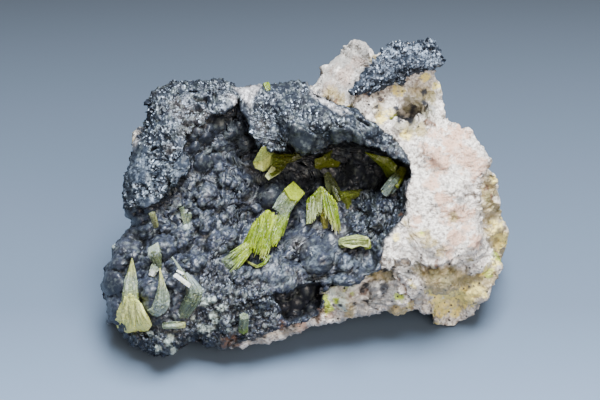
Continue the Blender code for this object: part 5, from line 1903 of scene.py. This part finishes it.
class SPECIMEN_OT_plate(bpy.types.Operator):
    """Makes the dark slab on the knob"""

    bl_idname = "specimen.plate"
    bl_label = "Oxide plate"

    def execute(self, context):
        rings = [(1.0, 0.3), (1.0, 0.6), (0.985, 1.0)]
        points, quads, _, column, row, behind = shell(
            PLATE_CENTRE, PLATE_OUTLINE, plate_face, plate_behind, PLATE_CELLS, rings, 27,
            uneven=(0.5, 0.8),
        )
        place_mm = points / MM
        coarse, _ = grains(place_mm / 0.95, 131)
        fine, mark = grains(place_mm / 0.42, 137)
        cloud = cloud_noise(place_mm / 2.2, 141)
        relief = (0.35 * cloud + 0.5 * coarse + 0.3 * fine) * MM
        relief = relief * (1 - smooth_step(behind, 0.6, 1.0))
        points = pushed_out(points, quads, relief)
        ones = np.ones(len(points))
        masks = {
            "shelf": ones, "crest": ones * 0.5, "glint": ones,
            # Painted sheen on the plate's lighter patches
            "bright": smooth_step(spots(column, row, PLATE_SHEEN_PATCHES) + 0.3 * mark - 0.1, 0, 0.5),
        }
        plate = add_mesh("dark_plate", points, [quads], bpy.data.materials["Manganese oxide crust"],
                         masks)
        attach(plate, "root")
        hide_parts("oxide_plate")
        return {"FINISHED"}


class SPECIMEN_OT_crystals(bpy.types.Operator):
    """Grows the green prisms and needles"""

    bl_idname = "specimen.crystals"
    bl_label = "Green crystals"

    def execute(self, context):
        settings = context.scene.specimen_crystals
        finish = crystal_material()
        for order, (name, stems) in enumerate(CRYSTALS.items()):
            parts = []
            for number, (stations, tints, count, spread, core) in enumerate(stems):
                parts.append(bundle(stations, tints, int(count * settings.needle_share), spread,
                                    core, 1000 * order + 100 * number))
            for number, (starts, ends, tints, count, radius) in enumerate(SPRAYS.get(name, [])):
                parts.append(spray(starts, ends, tints, int(count * settings.needle_share),
                                   radius, 1000 * order + 100 * number + 50))
            for block in FACETED.get(name, []):
                parts.append(faceted(*block))
            points, quads, triangles, colours = joined(parts)
            piece = add_mesh(name.replace("_crystal", "_needles"), points, [quads, triangles],
                             finish, {"tint": colours}, smooth=False)
            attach(piece, "root")
            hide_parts(name)
        return {"FINISHED"}


class SPECIMEN_PT_panel(bpy.types.Panel):
    bl_idname = "SPECIMEN_PT_panel"
    bl_label = "Specimen"
    bl_space_type = "VIEW_3D"
    bl_region_type = "UI"
    bl_category = "Specimen"

    def draw(self, context):
        for settings, operator in SETTINGS_AND_OPERATORS:
            box = self.layout.box()
            if settings:
                group = getattr(context.scene, settings)
                for key in group.__annotations__:
                    box.prop(group, key)
            box.operator(operator)


SETTINGS_AND_OPERATORS = [
    ("specimen_studio", "specimen.studio"),
    ("specimen_rock", "specimen.rock"),
    ("specimen_crust", "specimen.crust"),
    (None, "specimen.plate"),
    ("specimen_crystals", "specimen.crystals"),
]
CLASSES = (
    StudioSettings, CrustSettings, RockSettings, CrystalSettings, SPECIMEN_OT_studio,
    SPECIMEN_OT_rock, SPECIMEN_OT_crust, SPECIMEN_OT_plate, SPECIMEN_OT_crystals,
    SPECIMEN_PT_panel,
)


def register():
    for cls in CLASSES:
        bpy.utils.register_class(cls)
    bpy.types.Scene.specimen_studio = bpy.props.PointerProperty(type=StudioSettings)
    bpy.types.Scene.specimen_rock = bpy.props.PointerProperty(type=RockSettings)
    bpy.types.Scene.specimen_crust = bpy.props.PointerProperty(type=CrustSettings)
    bpy.types.Scene.specimen_crystals = bpy.props.PointerProperty(type=CrystalSettings)


def unregister():
    del bpy.types.Scene.specimen_crystals
    del bpy.types.Scene.specimen_crust
    del bpy.types.Scene.specimen_rock
    del bpy.types.Scene.specimen_studio
    for cls in reversed(CLASSES):
        bpy.utils.unregister_class(cls)


def main():
    register()
    crystal_glints_group()
    mottle_group()
    specks_group()
    beads_group()
    bpy.ops.specimen.studio()
    bpy.ops.specimen.rock()
    bpy.ops.specimen.crust()
    bpy.ops.specimen.plate()
    bpy.ops.specimen.crystals()


if __name__ == "__main__":
    main()
